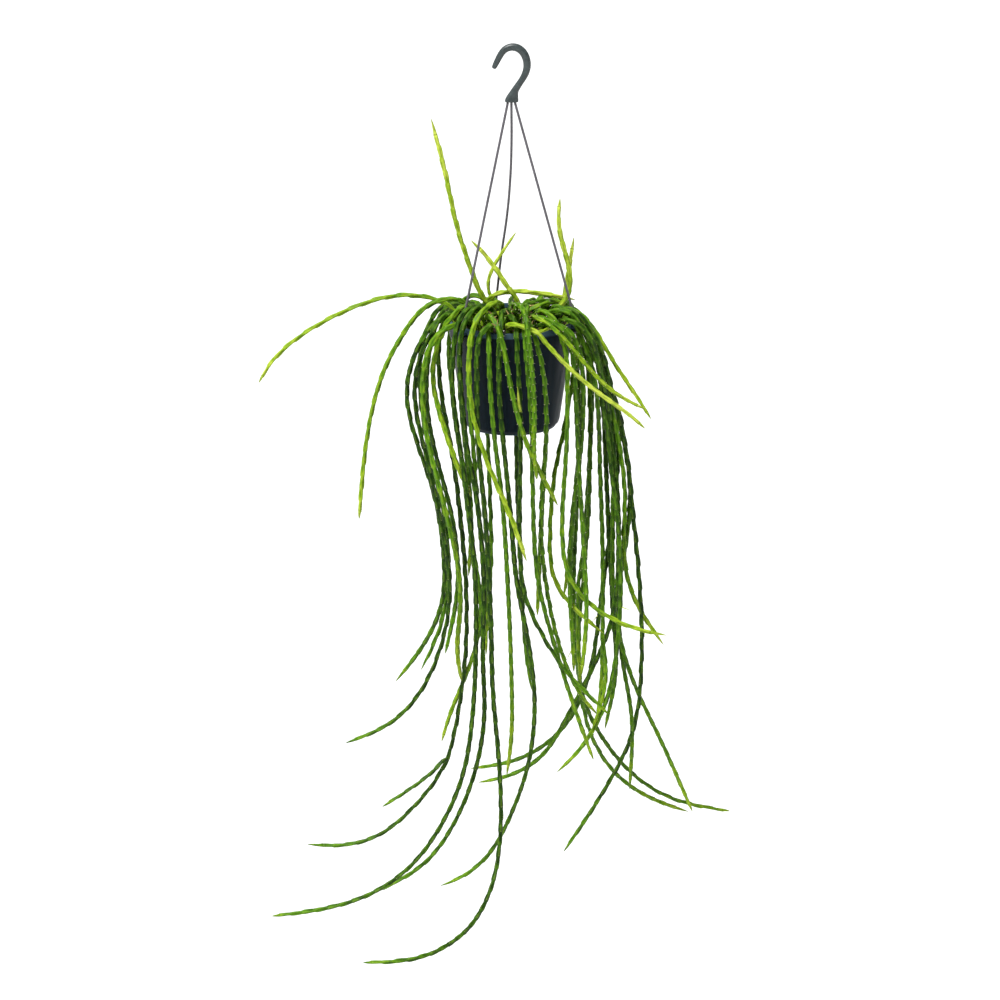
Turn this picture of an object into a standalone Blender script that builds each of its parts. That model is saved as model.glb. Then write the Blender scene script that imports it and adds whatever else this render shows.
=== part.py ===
"""A potted rhipsalis in a hanging pot: a moulded hook, three hanger rods, a plastic pot, its soil, and
the long jointed stems that rise from the soil, arch over the rim and hang far below the pot.

Lengths are in millimetres in the values below and become metres where a mesh is made.
The origin is the hook's seat, the inner top of its bend, where it hangs. X runs to the right,
Y runs away from the viewer, Z is up.
"""
import math
import random

import bpy
import numpy as np
from mathutils import Matrix, Vector
from mathutils.kdtree import KDTree

MM = 0.001
GAP = 0.3                     # what touching pieces keep between them
SEED = 11

# the pot: a 15 cm hanging pot, measured from its rim plane downwards
RIM_LEVEL = -317.7            # the rim plane, below the hook's seat
POT_RIM_RADIUS = 75.0
WALL_TOP_RADIUS = 74.8        # where the wall's line meets the rim plane
POT_BASE_RADIUS = 56.8
POT_HEIGHT = 129.0
POT_WALL = 1.6
COLLAR_HEIGHT = 18.0
COLLAR_STANDS_OUT = 0.9
LIP_HEIGHT = 7.0
LIP_INSIDE = 2.4              # how far the lip's inner edge stands in from the wall
FOOT_STEP = 3.2
FOOT_RADIUS = 53.4
POT_SIDES = 44
DRAIN_COUNT = 6
DRAIN_RADIUS = 3.5
DRAIN_CIRCLE = 34.0

# the soil
SOIL_BELOW_RIM = 11.0
ROOT_DEPTH = 22.0
ROOT_FIELD = 60.0             # stems come up inside this radius
ROOT_SPOTS = 56
UPRIGHT_ABOVE = 7.0           # a stem leaves the soil straight up for this much

# the hanger
ROD_RADIUS = 1.25
ROD_AZIMUTHS = (223.0, 343.0, 103.0)
ROD_CIRCLE = 78.0
ROD_PITCH_IN_HOOK = 4.4
ROD_SOCKET_DEPTH = 5.0
LUG_TOP = 3.0                 # below the rim plane
LUG_TALL = 6.0
LUG_WIDE = 8.0
LUG_OUT = 82.0
BUTTON_RADIUS = 2.7
BUTTON_TALL = 2.6
HOOK_BOTTOM = -60.2
REAR_ROD_BOW = [(0.2, 13, -112), (-1.4, 28, -160), (-5, 42, -204), (-11.5, 58, -254)]

# the stems
SEGMENT = 15.0                # one link of a stem, between two turns of its ridges
SAMPLES_A_LINK = 3
STEM_RADIUS = 4.1             # at the ridges, near the soil
TIP_RADIUS = 2.5              # at the ridges, before the last link
BRANCH_RADII = (2.9, 1.9)     # at the fork and near the tip
FULL_LENGTH = 650.0           # a stem this long is as slender at its end as stems get
TIP_TAPER = 40.0              # a stem narrows over this last part
STEM_CLEAR = 0.9

# how the stems settle beside each other
SETTLING_ROUNDS = 300
SETTLED_AT = 0.12             # largest lack of clearance that is left
PUSH_APART = 0.6
PUSH_FROM_POT = 0.8
STRIDE = 1.25
STRAIGHTEN = 0.06
FORK_FREE = 5                 # samples of a branch that may lie against its own stem
FORK_FADE = 6                 # samples over which a branch follows its stem

SOIL_LEVEL = RIM_LEVEL - SOIL_BELOW_RIM
STEP = SEGMENT / SAMPLES_A_LINK

# Routes of the stems past the crown: (across, away from the viewer, drop below the rim plane).
# Each stem starts in the soil and rises to the first of its points.
ROUTES = {
    "stem_up_1": [(-25, 2, -3), (-30, 3, -14), (-36, 4, -26), (-40, 5, -35), (-48, 4, -60),
                  (-63, 2, -105), (-77, 0, -176), (-93, 0, -238)],
    "stem_up_2": [(15, -24, -15), (-1, -26, -36), (-14, -26, -60), (-28, -24, -82), (-47, -22, -99)],
    "stem_up_3": [(-35, 24, -28), (-30, 26, -42), (-19, 28, -61), (-5, 30, -81), (6, 30, -97)],
    "stem_up_4": [(44, -5, -9), (57, -5, -10), (66, -4, -14), (70, -3, -21), (72, -1, -28),
                  (72, 3, -37), (70, 6, -60), (61, 8, -84), (53, 8, -108), (57, 8, -142)],
    "stem_up_5": [(58, 22, -3), (63, 22, -14), (65, 23, -25), (67, 24, -44), (71, 25, -72),
                  (74, 25, -92)],
    "stem_up_6": [(-38, 18, -10), (-36, 19, -20), (-30, 20, -25), (-22, 20, -28), (-11, 19, -29),
                  (3, 18, -29), (22, 17, -28), (41, 16, -25), (59, 16, -21), (76, 16, -18)],
    "stem_arch_1": [(-65, 6, -13), (-94, 2, -25), (-120, 0, -30), (-150, -4, -27), (-185, -8, -16),
                    (-225, -12, 3), (-262, -16, 27), (-290, -18, 55), (-298, -20, 74)],
    "stem_arch_2": [(-44, -14, -22), (-52, -18, -29), (-61, -20, -32), (-70, -22, -33),
                    (-80, -24, -32), (-90, -26, -29), (-100, -27, -25), (-110, -28, -18),
                    (-120, -28, 2), (-142, -30, 36), (-160, -31, 85), (-172, -32, 145),
                    (-178, -33, 200), (-181, -34, 238)],
    "stem_arch_3": [(-18, -66, -10), (-12, -74, -14), (0, -80, -16), (11, -86, -17), (21, -90, -14),
                    (28, -91, -9), (33, -92, -5), (39, -92, 3), (50, -92, 19), (58, -93, 29),
                    (68, -94, 37), (90, -92, 58), (120, -88, 81), (143, -84, 97), (156, -82, 112)],
    "stem_arch_4": [(15, -56, -20), (22, -64, -20), (34, -72, -16), (42, -76, -12), (49, -79, -7),
                    (56, -81, -1), (63, -82, 5), (72, -80, 17), (92, -82, 42), (110, -80, 62),
                    (130, -76, 77), (146, -72, 87), (157, -70, 92)],
    "stem_arch_5": [(76, 6, -14), (99, 2, 14), (120, -4, 52), (137, -8, 76), (154, -12, 100),
                    (166, -14, 120)],
    "stem_left_01": [(-74, -48, -20), (-100, -58, 5), (-120, -48, 50), (-124, -40, 92),
                     (-110, -55, 140), (-90, -50, 205), (-80, -42, 285), (-82, -36, 345),
                     (-105, -28, 400), (-140, -20, 450)],
    "stem_left_02": [(-66, -46, -22), (-90, -60, -5), (-110, -58, 40), (-114, -50, 90),
                     (-100, -64, 150), (-82, -66, 235), (-72, -64, 310), (-82, -62, 385),
                     (-112, -60, 455), (-148, -60, 492), (-200, -58, 515)],
    "stem_left_03": [(-53, -38, -32), (-59, -44, -31), (-65, -50, -25), (-71, -54, -17),
                     (-77, -56, -5), (-82, -56, 6), (-92, -56, 35), (-93, -50, 65), (-84, -62, 100),
                     (-64, -80, 155), (-46, -70, 200)],
    "stem_left_04": [(-70, -54, -16), (-94, -70, 8), (-104, -66, 60), (-101, -68, 115),
                     (-80, -84, 200), (-62, -68, 290), (-60, -55, 345), (-66, -40, 400),
                     (-60, -30, 445)],
    "stem_left_05": [(-58, 32, -14), (-70, 40, -14), (-84, 47, -8), (-92, 52, 5), (-108, 52, 45),
                     (-110, 48, 100), (-100, 60, 180), (-80, 52, 265), (-76, 42, 340), (-86, 30, 400),
                     (-110, 20, 450)],
    "stem_left_06": [(-51, 26, -15), (-63, 34, -16), (-75, 40, -11), (-84, 42, 0), (-98, 42, 50),
                     (-102, 38, 110), (-92, 50, 180), (-70, 42, 265), (-64, 26, 345), (-80, 10, 425)],
    "stem_left_07": [(-44, 40, -9), (-54, 48, -11), (-63, 54, -9), (-78, 62, 5), (-88, 68, 50),
                     (-84, 66, 115), (-70, 70, 195), (-60, 66, 285), (-55, 64, 350), (-55, 60, 435),
                     (-62, 56, 500), (-82, 52, 590), (-122, 50, 645), (-166, 46, 683), (-215, 42, 694),
                     (-255, 40, 690)],
    "stem_left_08": [(-40, -50, -31), (-48, -56, -33), (-56, -62, -30), (-62, -69, -22),
                     (-65, -73, -10), (-66, -72, 5), (-70, -76, 60), (-62, -80, 125), (-50, -84, 210),
                     (-42, -92, 300), (-42, -104, 390), (-45, -115, 450), (-56, -130, 525),
                     (-84, -140, 590), (-122, -150, 640), (-176, -158, 674), (-235, -164, 688),
                     (-286, -166, 694)],
    "stem_left_09": [(-30, -56, -31), (-35, -60, -33), (-42, -66, -32), (-48, -72, -29),
                     (-53, -77, -22), (-58, -80, -15), (-60, -82, -4), (-60, -82, 45), (-54, -84, 110),
                     (-40, -88, 200), (-32, -90, 295), (-34, -96, 395), (-31, -102, 460),
                     (-41, -110, 525), (-66, -116, 592), (-104, -120, 648), (-166, -122, 684)],
    "stem_left_10": [(-16, 34, -8), (-29, 48, -9), (-42, 58, -9), (-56, 64, -5), (-66, 67, 2),
                     (-76, 70, 50), (-70, 70, 115), (-60, 72, 195), (-50, 70, 285), (-36, 66, 400),
                     (-54, 62, 470), (-75, 60, 520), (-86, 60, 560)],
    "stem_left_11": [(-30, -64, -30), (-46, -80, -2), (-50, -86, 40), (-48, -86, 100), (-42, -80, 180),
                     (-34, -68, 260), (-30, -60, 330), (-30, -50, 405)],
    "stem_left_12": [(-21, -70, -21), (-27, -77, -21), (-34, -84, -16), (-39, -89, -8), (-41, -91, 3),
                     (-40, -92, 30), (-40, -94, 110), (-30, -98, 220), (-24, -100, 340),
                     (-22, -103, 430), (-14, -108, 523), (-12, -122, 599), (-20, -150, 655),
                     (-46, -208, 687), (-71, -245, 693), (-96, -272, 696), (-130, -288, 696),
                     (-172, -292, 695)],
    "stem_mid_1": [(-7, -54, -32), (-17, -62, -37), (-25, -70, -36), (-33, -78, -32), (-41, -86, -26),
                   (-47, -92, -15), (-49, -94, 12), (-49, -96, 60), (-38, -98, 120), (-24, -101, 159),
                   (-7, -102, 197), (4, -104, 225), (18, -106, 267)],
    "stem_mid_2": [(-29, -64, -28), (-26, -74, -28), (-21, -82, -23), (-18, -88, -17), (-13, -92, -7),
                   (-8, -94, 4), (-6, -94, 30), (2, -94, 72), (18, -90, 130), (36, -80, 172),
                   (55, -70, 210)],
    "stem_mid_3": [(-24, -62, -29), (-26, -84, -4), (-25, -86, 55), (-20, -86, 120), (-10, -84, 205),
                   (-4, -80, 305), (0, -72, 405), (1, -65, 505), (-5, -60, 556)],
    "stem_mid_4": [(-12, -62, -31), (-14, -84, -6), (-14, -88, 75), (-8, -86, 140), (0, -84, 225),
                   (6, -80, 300), (21, -75, 380), (29, -74, 460), (21, -70, 540), (0, -66, 606),
                   (-26, -64, 660), (-64, -62, 694), (-86, -60, 702)],
    "stem_mid_5": [(2, -64, -31), (4, -86, -6), (9, -88, 50), (11, -86, 130), (10, -84, 225),
                   (14, -84, 312), (36, -82, 366), (66, -80, 416), (104, -80, 456), (118, -80, 470)],
    "stem_mid_6": [(12, -62, -32), (14, -86, -8), (20, -90, 50), (25, -86, 130), (26, -80, 225),
                   (32, -76, 305), (50, -70, 378), (76, -65, 466), (100, -60, 536)],
    "stem_mid_7": [(6, -54, -33), (12, -61, -29), (17, -68, -21), (22, -76, -11), (27, -84, -1),
                   (37, -88, 40), (41, -86, 90), (40, -82, 140), (35, -72, 230), (41, -60, 308),
                   (60, -50, 400), (86, -45, 462), (106, -40, 486)],
    "stem_mid_8": [(8, -66, -37), (12, -77, -34), (16, -88, -27), (18, -97, -17), (20, -101, 0),
                   (24, -100, 40), (27, -100, 90), (26, -96, 135), (30, -88, 172)],
    "stem_right_01": [(19, 24, -11), (34, 38, -10), (50, 50, -9), (63, 58, -2), (76, 61, 12),
                      (90, 56, 50), (95, 40, 110), (95, 26, 180), (93, 28, 270), (85, 50, 370),
                      (88, 90, 510), (105, 110, 580), (135, 124, 632), (180, 134, 668),
                      (228, 140, 688)],
    "stem_right_02": [(34, 44, -9), (47, 58, -8), (56, 70, -4), (66, 79, 8), (78, 84, 45),
                      (84, 84, 120), (84, 84, 190), (80, 86, 280), (78, 90, 390), (90, 104, 515),
                      (116, 124, 580), (160, 144, 642), (212, 158, 680), (284, 170, 700)],
    "stem_right_03": [(58, -44, -28), (73, -50, -21), (87, -54, -8), (98, -52, 11), (105, -48, 35),
                      (114, -30, 75), (131, -8, 140), (145, -6, 230), (155, -10, 325), (159, -14, 410),
                      (150, -20, 515), (112, -25, 595), (65, -30, 670)],
    "stem_right_04": [(54, -34, -27), (68, -38, -22), (81, -40, -10), (93, -38, 8), (106, -30, 43),
                      (118, -8, 105), (124, 0, 175), (122, 2, 265), (124, 6, 355), (136, 10, 420),
                      (155, 12, 475), (185, 15, 540), (226, 22, 638)],
    "stem_right_05": [(47, 36, -9), (61, 42, -6), (74, 48, 4), (87, 50, 18), (99, 50, 38),
                      (105, 48, 54), (116, 34, 110), (121, 10, 180), (130, 12, 270), (130, 16, 355),
                      (136, 20, 435), (150, 25, 515), (148, 30, 612)],
    "stem_right_06": [(54, -46, -26), (82, -58, -4), (102, -46, 40), (112, -26, 95), (120, -10, 180),
                      (130, -18, 270), (132, -26, 345), (120, -40, 450), (86, -54, 524),
                      (56, -60, 552)],
    "stem_right_07": [(53, 16, -18), (66, 24, -11), (78, 28, 1), (90, 30, 18), (100, 29, 36),
                      (106, 28, 45), (110, 18, 105), (114, 8, 190), (119, 8, 280), (125, 10, 380),
                      (130, 14, 445), (116, 20, 528)],
    "stem_right_08": [(52, -38, -30), (78, -54, -8), (94, -48, 35), (102, -34, 90), (106, -12, 185),
                      (110, -8, 275), (111, -14, 380), (110, -20, 460), (104, -22, 506)],
    "stem_right_09": [(44, -54, -20), (70, -64, -2), (82, -60, 35), (85, -54, 85), (82, -48, 150),
                      (72, -46, 235), (70, -42, 310), (74, -40, 380), (76, -40, 430)],
    "stem_right_10": [(34, 28, -10), (49, 40, -11), (62, 50, -6), (74, 56, 6), (85, 60, 23),
                      (95, 60, 45), (98, 58, 110), (95, 54, 200), (90, 48, 290), (82, 42, 395),
                      (86, 38, 474)],
    "stem_right_11": [(38, -58, -20), (62, -68, -4), (72, -66, 35), (76, -60, 90), (80, -54, 175),
                      (86, -58, 260), (90, -64, 360), (84, -70, 425)],
    "stem_right_12": [(24, 38, -7), (40, 52, -8), (54, 62, -7), (65, 70, 1), (76, 74, 13),
                      (88, 74, 29), (101, 67, 57), (122, 38, 110), (128, 14, 175), (121, 12, 265),
                      (111, 16, 345), (95, 24, 465), (64, 30, 533), (10, 35, 575), (-50, 40, 588)],
    "stem_right_13": [(60, -52, -24), (88, -60, 0), (104, -46, 45), (112, -26, 95), (121, -8, 165),
                      (130, -6, 260), (124, -9, 370), (100, -11, 435), (70, -14, 495), (38, -16, 552),
                      (-5, -19, 576), (-40, -20, 582)],
    "stem_right_14": [(40, 8, -16), (54, 20, -16), (68, 31, -10), (78, 40, 4), (82, 45, 26),
                      (79, 46, 58), (73, 43, 94), (67, 37, 130), (62, 29, 156), (53, 4, 184),
                      (47, -14, 249), (51, -30, 321), (85, -44, 358), (111, -50, 377)],
    "stem_right_15": [(33, -46, -23), (47, -56, -20), (58, -64, -10), (64, -70, 6), (68, -70, 25),
                      (66, -70, 44), (65, -68, 63), (66, -68, 100), (64, -64, 160), (60, -60, 245),
                      (68, -60, 305), (102, -60, 345), (154, -60, 370), (186, -60, 376)],
    "stem_right_16": [(62, -33, -26), (72, -36, -22), (82, -38, -14), (94, -40, 2), (104, -38, 24),
                      (110, -34, 47), (115, -24, 78), (131, -8, 150), (138, -4, 205), (135, -2, 290),
                      (146, 0, 345), (165, 0, 380), (186, 0, 410)],
    "stem_right_17": [(54, 46, -7), (66, 56, -2), (78, 60, 10), (91, 58, 24), (102, 53, 42),
                      (110, 46, 64), (117, 36, 91), (133, 12, 145), (144, 8, 215), (141, 8, 265),
                      (130, 10, 345)],
    "stem_back_1": [(8, 44, -7), (18, 58, -7), (28, 72, -5), (36, 86, 5), (42, 93, 50), (45, 93, 130),
                    (40, 86, 230), (36, 82, 320), (33, 80, 400)],
    "stem_back_2": [(-4, 46, -5), (-1, 62, -6), (1, 78, -4), (2, 92, 5), (4, 97, 50), (6, 97, 140),
                    (8, 90, 240), (12, 84, 330), (18, 82, 440), (26, 86, 500)],
    "stem_back_3": [(-5, 40, -7), (-13, 56, -7), (-23, 72, -6), (-30, 90, 4), (-32, 95, 50),
                    (-30, 95, 130), (-26, 88, 230), (-24, 82, 330), (-30, 84, 420)],
    "stem_back_4": [(40, 36, -9), (54, 50, -9), (67, 64, -2), (78, 76, 14), (80, 82, 40),
                    (86, 82, 110), (82, 78, 200), (74, 72, 300), (66, 70, 370)],
    "stem_back_5": [(-35, 40, -8), (-44, 54, -8), (-54, 70, -5), (-62, 84, 7), (-63, 88, 45),
                    (-62, 92, 120), (-54, 90, 200), (-48, 86, 280), (-52, 84, 350)],
}
# young stems whose links are short and crowded, as on new shoots from the base
CROWDED = {"stem_mid_8": 0.55, "stem_mid_7": 0.8, "stem_arch_4": 0.8}
# how stout a stem is, where it differs from the rest
STOUTNESS = {"stem_arch_3": 1.12, "stem_arch_1": 0.95, "stem_up_3": 0.85, "stem_up_5": 0.9,
             "stem_mid_1": 1.08, "stem_left_04": 1.08, "stem_left_03": 1.08, "stem_up_1": 1.05}
# side branches, fused into the stem that they grow from: parent, where along it, and the branch's route
BRANCHES = {
    "branch_1": ("stem_left_07", (-78, 52, 572),
                 [(-94, 38, 590), (-121, 26, 607), (-141, 16, 617), (-159, 8, 626)]),
    "branch_2": ("stem_arch_3", (31, -91, -6), [(39, -80, -10), (48, -64, -10), (58, -56, -6)]),
    "branch_3": ("stem_right_08", (110, -16, 400), [(116, -34, 430), (112, -44, 466), (100, -50, 500)]),
}


def clear_scene():
    for item in list(bpy.data.objects):
        bpy.data.objects.remove(item, do_unlink=True)


def material(name, colour, roughness):
    made = bpy.data.materials.new(name)
    made.use_nodes = True
    shader = made.node_tree.nodes["Principled BSDF"]
    shader.inputs["Base Color"].default_value = (*colour, 1.0)
    shader.inputs["Roughness"].default_value = roughness
    return made


def solid(name, points, faces, finish, smooth=True):
    """A named object from points in millimetres."""
    mesh = bpy.data.meshes.new(name)
    mesh.from_pydata([tuple(c * MM for c in point) for point in points], [], faces)
    if smooth:
        mesh.shade_smooth()
        mesh.set_sharp_from_angle(angle=math.radians(40))
    made = bpy.data.objects.new(name, mesh)
    bpy.context.collection.objects.link(made)
    if finish is not None:
        mesh.materials.append(finish)
    return made


def cut(target, tool, operation="DIFFERENCE"):
    """Boolean with a guide solid, which stays hidden."""
    tool.hide_render = True
    tool.display_type = "WIRE"
    step = target.modifiers.new(operation.lower(), "BOOLEAN")
    step.operation = operation
    step.object = tool


def turned(profile, sides):
    """Points and faces of a solid turned round Z. The profile runs (radius, level) from the axis,
    down and round the outside first, and back to the axis."""
    points, faces, rings = [], [], []
    for radius, level in profile:
        if radius == 0:
            rings.append([len(points)])
            points.append((0.0, 0.0, level))
            continue
        rings.append(list(range(len(points), len(points) + sides)))
        for k in range(sides):
            turn = 2 * math.pi * k / sides
            points.append((radius * math.cos(turn), radius * math.sin(turn), level))
    for upper, lower in zip(rings, rings[1:]):
        for k in range(sides):
            after = (k + 1) % sides
            if len(upper) == 1:
                faces.append((upper[0], lower[k], lower[after]))
            elif len(lower) == 1:
                faces.append((upper[k], lower[0], upper[after]))
            else:
                faces.append((upper[k], lower[k], lower[after], upper[after]))
    return points, faces


def cylinders(places, radius, low, high, sides):
    """Several upright cylinders in one guide mesh. Its flats stand at the radius."""
    points, faces = [], []
    corner = radius / math.cos(math.pi / sides)
    for x, y in places:
        start = len(points)
        for level in (low, high):
            for k in range(sides):
                turn = 2 * math.pi * k / sides
                points.append((x + corner * math.cos(turn), y + corner * math.sin(turn), level))
        for k in range(sides):
            after = (k + 1) % sides
            faces.append((start + k, start + after, start + sides + after, start + sides + k))
        faces.append(tuple(start + k for k in reversed(range(sides))))
        faces.append(tuple(start + sides + k for k in range(sides)))
    return points, faces


def smooth_line(route, step):
    """Points at an even step along a smooth curve through the route (centripetal Catmull-Rom)."""
    route = [np.array(p, float) for p in route]
    route = [2 * route[0] - route[1]] + route + [2 * route[-1] - route[-2]]
    fine = []
    for a, b, c, d in zip(route, route[1:], route[2:], route[3:]):
        t0 = 0.0
        t1 = t0 + math.sqrt(np.linalg.norm(b - a))
        t2 = t1 + math.sqrt(np.linalg.norm(c - b))
        t3 = t2 + math.sqrt(np.linalg.norm(d - c))
        for t in np.linspace(t1, t2, 24, endpoint=False):
            ab = (t1 - t) / (t1 - t0) * a + (t - t0) / (t1 - t0) * b
            bc = (t2 - t) / (t2 - t1) * b + (t - t1) / (t2 - t1) * c
            cd = (t3 - t) / (t3 - t2) * c + (t - t2) / (t3 - t2) * d
            abc = (t2 - t) / (t2 - t0) * ab + (t - t0) / (t2 - t0) * bc
            bcd = (t3 - t) / (t3 - t1) * bc + (t - t1) / (t3 - t1) * cd
            fine.append((t2 - t) / (t2 - t1) * abc + (t - t1) / (t2 - t1) * bcd)
    fine.append(route[-2])
    fine = np.array(fine)
    run = np.concatenate([[0.0], np.cumsum(np.linalg.norm(np.diff(fine, axis=0), axis=1))])
    count = max(4, round(run[-1] / step))
    even = np.linspace(0, run[-1], count + 1)
    return np.stack([np.interp(even, run, fine[:, axis]) for axis in range(3)], axis=1)


def frames_along(line):
    """Two cross directions at each point of a line, carried along without twist."""
    ahead = np.gradient(line, axis=0)
    ahead /= np.linalg.norm(ahead, axis=1)[:, None]
    side = np.cross(ahead[0], (0.31, 0.95, 0.05))
    side /= np.linalg.norm(side)
    sides = []
    for direction in ahead:
        side = side - direction * np.dot(side, direction)
        side /= np.linalg.norm(side)
        sides.append(side)
    sides = np.array(sides)
    return sides, np.cross(ahead, sides)


def swept(line, across, through, sides):
    """A closed sweep with an oval section: half sizes across and through at each point."""
    first, second = frames_along(line)
    points, faces = [], []
    for place, a, b, wide, deep in zip(line, first, second, across, through):
        for k in range(sides):
            turn = 2 * math.pi * (k + 0.5) / sides
            points.append(place + a * wide * math.cos(turn) + b * deep * math.sin(turn))
    for row in range(len(line) - 1):
        for k in range(sides):
            after = (k + 1) % sides
            here = row * sides
            faces.append((here + k, here + after, here + sides + after, here + sides + k))
    faces.append(tuple(reversed(range(sides))))
    last = (len(line) - 1) * sides
    faces.append(tuple(last + k for k in range(sides)))
    return points, faces


def wall_radius(level):
    """Outer radius of the pot's plain wall at a level below the rim plane (negative down)."""
    return WALL_TOP_RADIUS + (WALL_TOP_RADIUS - POT_BASE_RADIUS) * level / POT_HEIGHT


def make_pot(finish):
    rim, foot = RIM_LEVEL, RIM_LEVEL - POT_HEIGHT
    base_top = foot + FOOT_STEP
    inside_floor = base_top + POT_WALL
    inner = wall_radius(0) - POT_WALL
    lip_in = inner - LIP_INSIDE
    profile = [
        (0, inside_floor),
        (wall_radius(inside_floor - rim) - POT_WALL, inside_floor),
        (wall_radius(-LIP_HEIGHT) - POT_WALL, rim - LIP_HEIGHT),
        (lip_in, rim - LIP_HEIGHT + 2.0),
        (lip_in, rim - 0.8),
        (lip_in + 0.8, rim),
        (POT_RIM_RADIUS - 1.0, rim),
        (POT_RIM_RADIUS, rim - 1.0),
        (POT_RIM_RADIUS, rim - LIP_HEIGHT),
        (POT_RIM_RADIUS - 0.8, rim - LIP_HEIGHT - 0.8),
        (wall_radius(-COLLAR_HEIGHT) + COLLAR_STANDS_OUT, rim - COLLAR_HEIGHT),
        (wall_radius(-COLLAR_HEIGHT), rim - COLLAR_HEIGHT),
        (wall_radius(base_top - rim + 4.5), base_top + 4.5),
        (wall_radius(base_top - rim + 1.4) - 0.7, base_top + 1.4),
        (wall_radius(base_top - rim) - 2.2, base_top),
        (FOOT_RADIUS + 1.2, base_top),
        (FOOT_RADIUS, foot),
        (FOOT_RADIUS - 2.4, foot),
        (FOOT_RADIUS - 3.2, base_top),
        (0, base_top),
    ]
    points, faces = turned(profile[::-1], POT_SIDES)
    pot = solid("pot", points, [face[::-1] for face in faces], finish)
    lugs, lug_faces = [], []
    for azimuth in ROD_AZIMUTHS:
        turn = Matrix.Rotation(math.radians(azimuth), 3, "Z")
        start = len(lugs)
        for level in (rim - LUG_TOP - LUG_TALL, rim - LUG_TOP):
            for reach, half in ((POT_RIM_RADIUS - 1.6, LUG_WIDE / 2), (LUG_OUT - 2, LUG_WIDE / 2),
                                (LUG_OUT, LUG_WIDE / 2 - 2), (LUG_OUT, -LUG_WIDE / 2 + 2),
                                (LUG_OUT - 2, -LUG_WIDE / 2), (POT_RIM_RADIUS - 1.6, -LUG_WIDE / 2)):
                lugs.append(tuple(turn @ Vector((reach, half, level))))
        for k in range(6):
            after = (k + 1) % 6
            lug_faces.append((start + k, start + 6 + k, start + 6 + after, start + after))
        lug_faces.append(tuple(start + k for k in range(6)))
        lug_faces.append(tuple(start + 6 + k for k in reversed(range(6))))
    cut(pot, solid("guide_lugs", lugs, lug_faces, None, smooth=False), "UNION")
    rod_places = [(ROD_CIRCLE * math.cos(math.radians(a)), ROD_CIRCLE * math.sin(math.radians(a)))
                  for a in ROD_AZIMUTHS]
    holes = cylinders(rod_places, ROD_RADIUS + GAP, rim - LUG_TOP - LUG_TALL - 1, rim - LUG_TOP + 1, 10)
    cut(pot, solid("guide_rod_holes", *holes, None, smooth=False))
    drain_places = [(DRAIN_CIRCLE * math.cos(2 * math.pi * k / DRAIN_COUNT),
                     DRAIN_CIRCLE * math.sin(2 * math.pi * k / DRAIN_COUNT)) for k in range(DRAIN_COUNT)]
    drains = cylinders(drain_places, DRAIN_RADIUS, foot - 1, inside_floor + 1, 12)
    cut(pot, solid("guide_drains", *drains, None, smooth=False))
    return pot


def hook_line():
    """The hook's middle line in its own plane, from the tip, over the seat and down the shank."""
    route = [(-20.0, 0, -20.5), (-15.6, 0, -9.2), (-8.6, 0, 0.6), (0.6, 0, 4.4), (10.6, 0, 0.8),
             (17.2, 0, -8.2), (18.6, 0, -18.4), (16.2, 0, -29.0), (7.4, 0, -41.0), (1.2, 0, -47.5)]
    return smooth_line(route, 5.6)


def make_hook(finish):
    line = hook_line()
    count = len(line)
    grow = [min(1.0, k / 6.0) for k in range(count)]
    across = [3.0 + 1.5 * g for g in grow]
    through = [2.6 + 1.0 * g for g in grow]
    across[0], through[0] = 1.8, 1.6
    tail = np.array([(0, 0, -51.5), (0, 0, -55.0), (0, 0, -59.2), (0, 0, HOOK_BOTTOM)], float)
    line = np.concatenate([line, tail])
    across += [5.4, 7.0, 8.4, 7.9]
    through += [3.7, 4.2, 4.6, 4.1]
    first, second = frames_along(line)
    # the wide half size lies in the hook's own plane
    in_plane = [abs(a[1]) < abs(b[1]) for a, b in zip(first, second)]
    wide = [w if flat else d for w, d, flat in zip(across, through, in_plane)]
    deep = [d if flat else w for w, d, flat in zip(across, through, in_plane)]
    points, faces = swept(line, wide, deep, 12)
    hook = solid("hook", points, faces, finish)
    places = [(ROD_PITCH_IN_HOOK * k, 0.0) for k in (-1, 0, 1)]
    sockets = cylinders(places, ROD_RADIUS + GAP, HOOK_BOTTOM - 1, HOOK_BOTTOM + ROD_SOCKET_DEPTH, 10)
    cut(hook, solid("guide_sockets", *sockets, None, smooth=False))
    return hook


def rod_line(index):
    """A rod from its socket in the hook to just above its lug. The rear one hangs slightly bowed."""
    azimuth = math.radians(ROD_AZIMUTHS[index])
    foot = (ROD_CIRCLE * math.cos(azimuth), ROD_CIRCLE * math.sin(azimuth))
    head = (-ROD_PITCH_IN_HOOK, ROD_PITCH_IN_HOOK, 0.0)[index]
    top = [(head, 0, HOOK_BOTTOM + ROD_SOCKET_DEPTH - GAP), (head, 0, HOOK_BOTTOM - 4)]
    bow = REAR_ROD_BOW if index == 2 else []
    end = [(*foot, RIM_LEVEL + 5), (*foot, RIM_LEVEL - LUG_TOP + 1)]
    return top, bow, end


def make_rod(index, finish):
    top, bow, end = rod_line(index)
    middle = smooth_line([top[1]] + bow + [end[0]], 26.0 if bow else 120.0)
    line = [np.array(top[0], float)] + list(middle) + [np.array(end[1], float)]
    foot_x, foot_y = end[1][0], end[1][1]
    under = RIM_LEVEL - LUG_TOP - LUG_TALL - GAP
    levels = (under, under - 0.02, under - BUTTON_TALL + 1, under - BUTTON_TALL)
    line = np.array(line + [np.array((foot_x, foot_y, level)) for level in levels])
    thick = [ROD_RADIUS] * (len(line) - 3) + [BUTTON_RADIUS, BUTTON_RADIUS, BUTTON_RADIUS - 1.0]
    points, faces = swept(line, thick, thick, 8)
    return solid(f"hanger_rod_{index + 1}", points, faces, finish)


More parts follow.
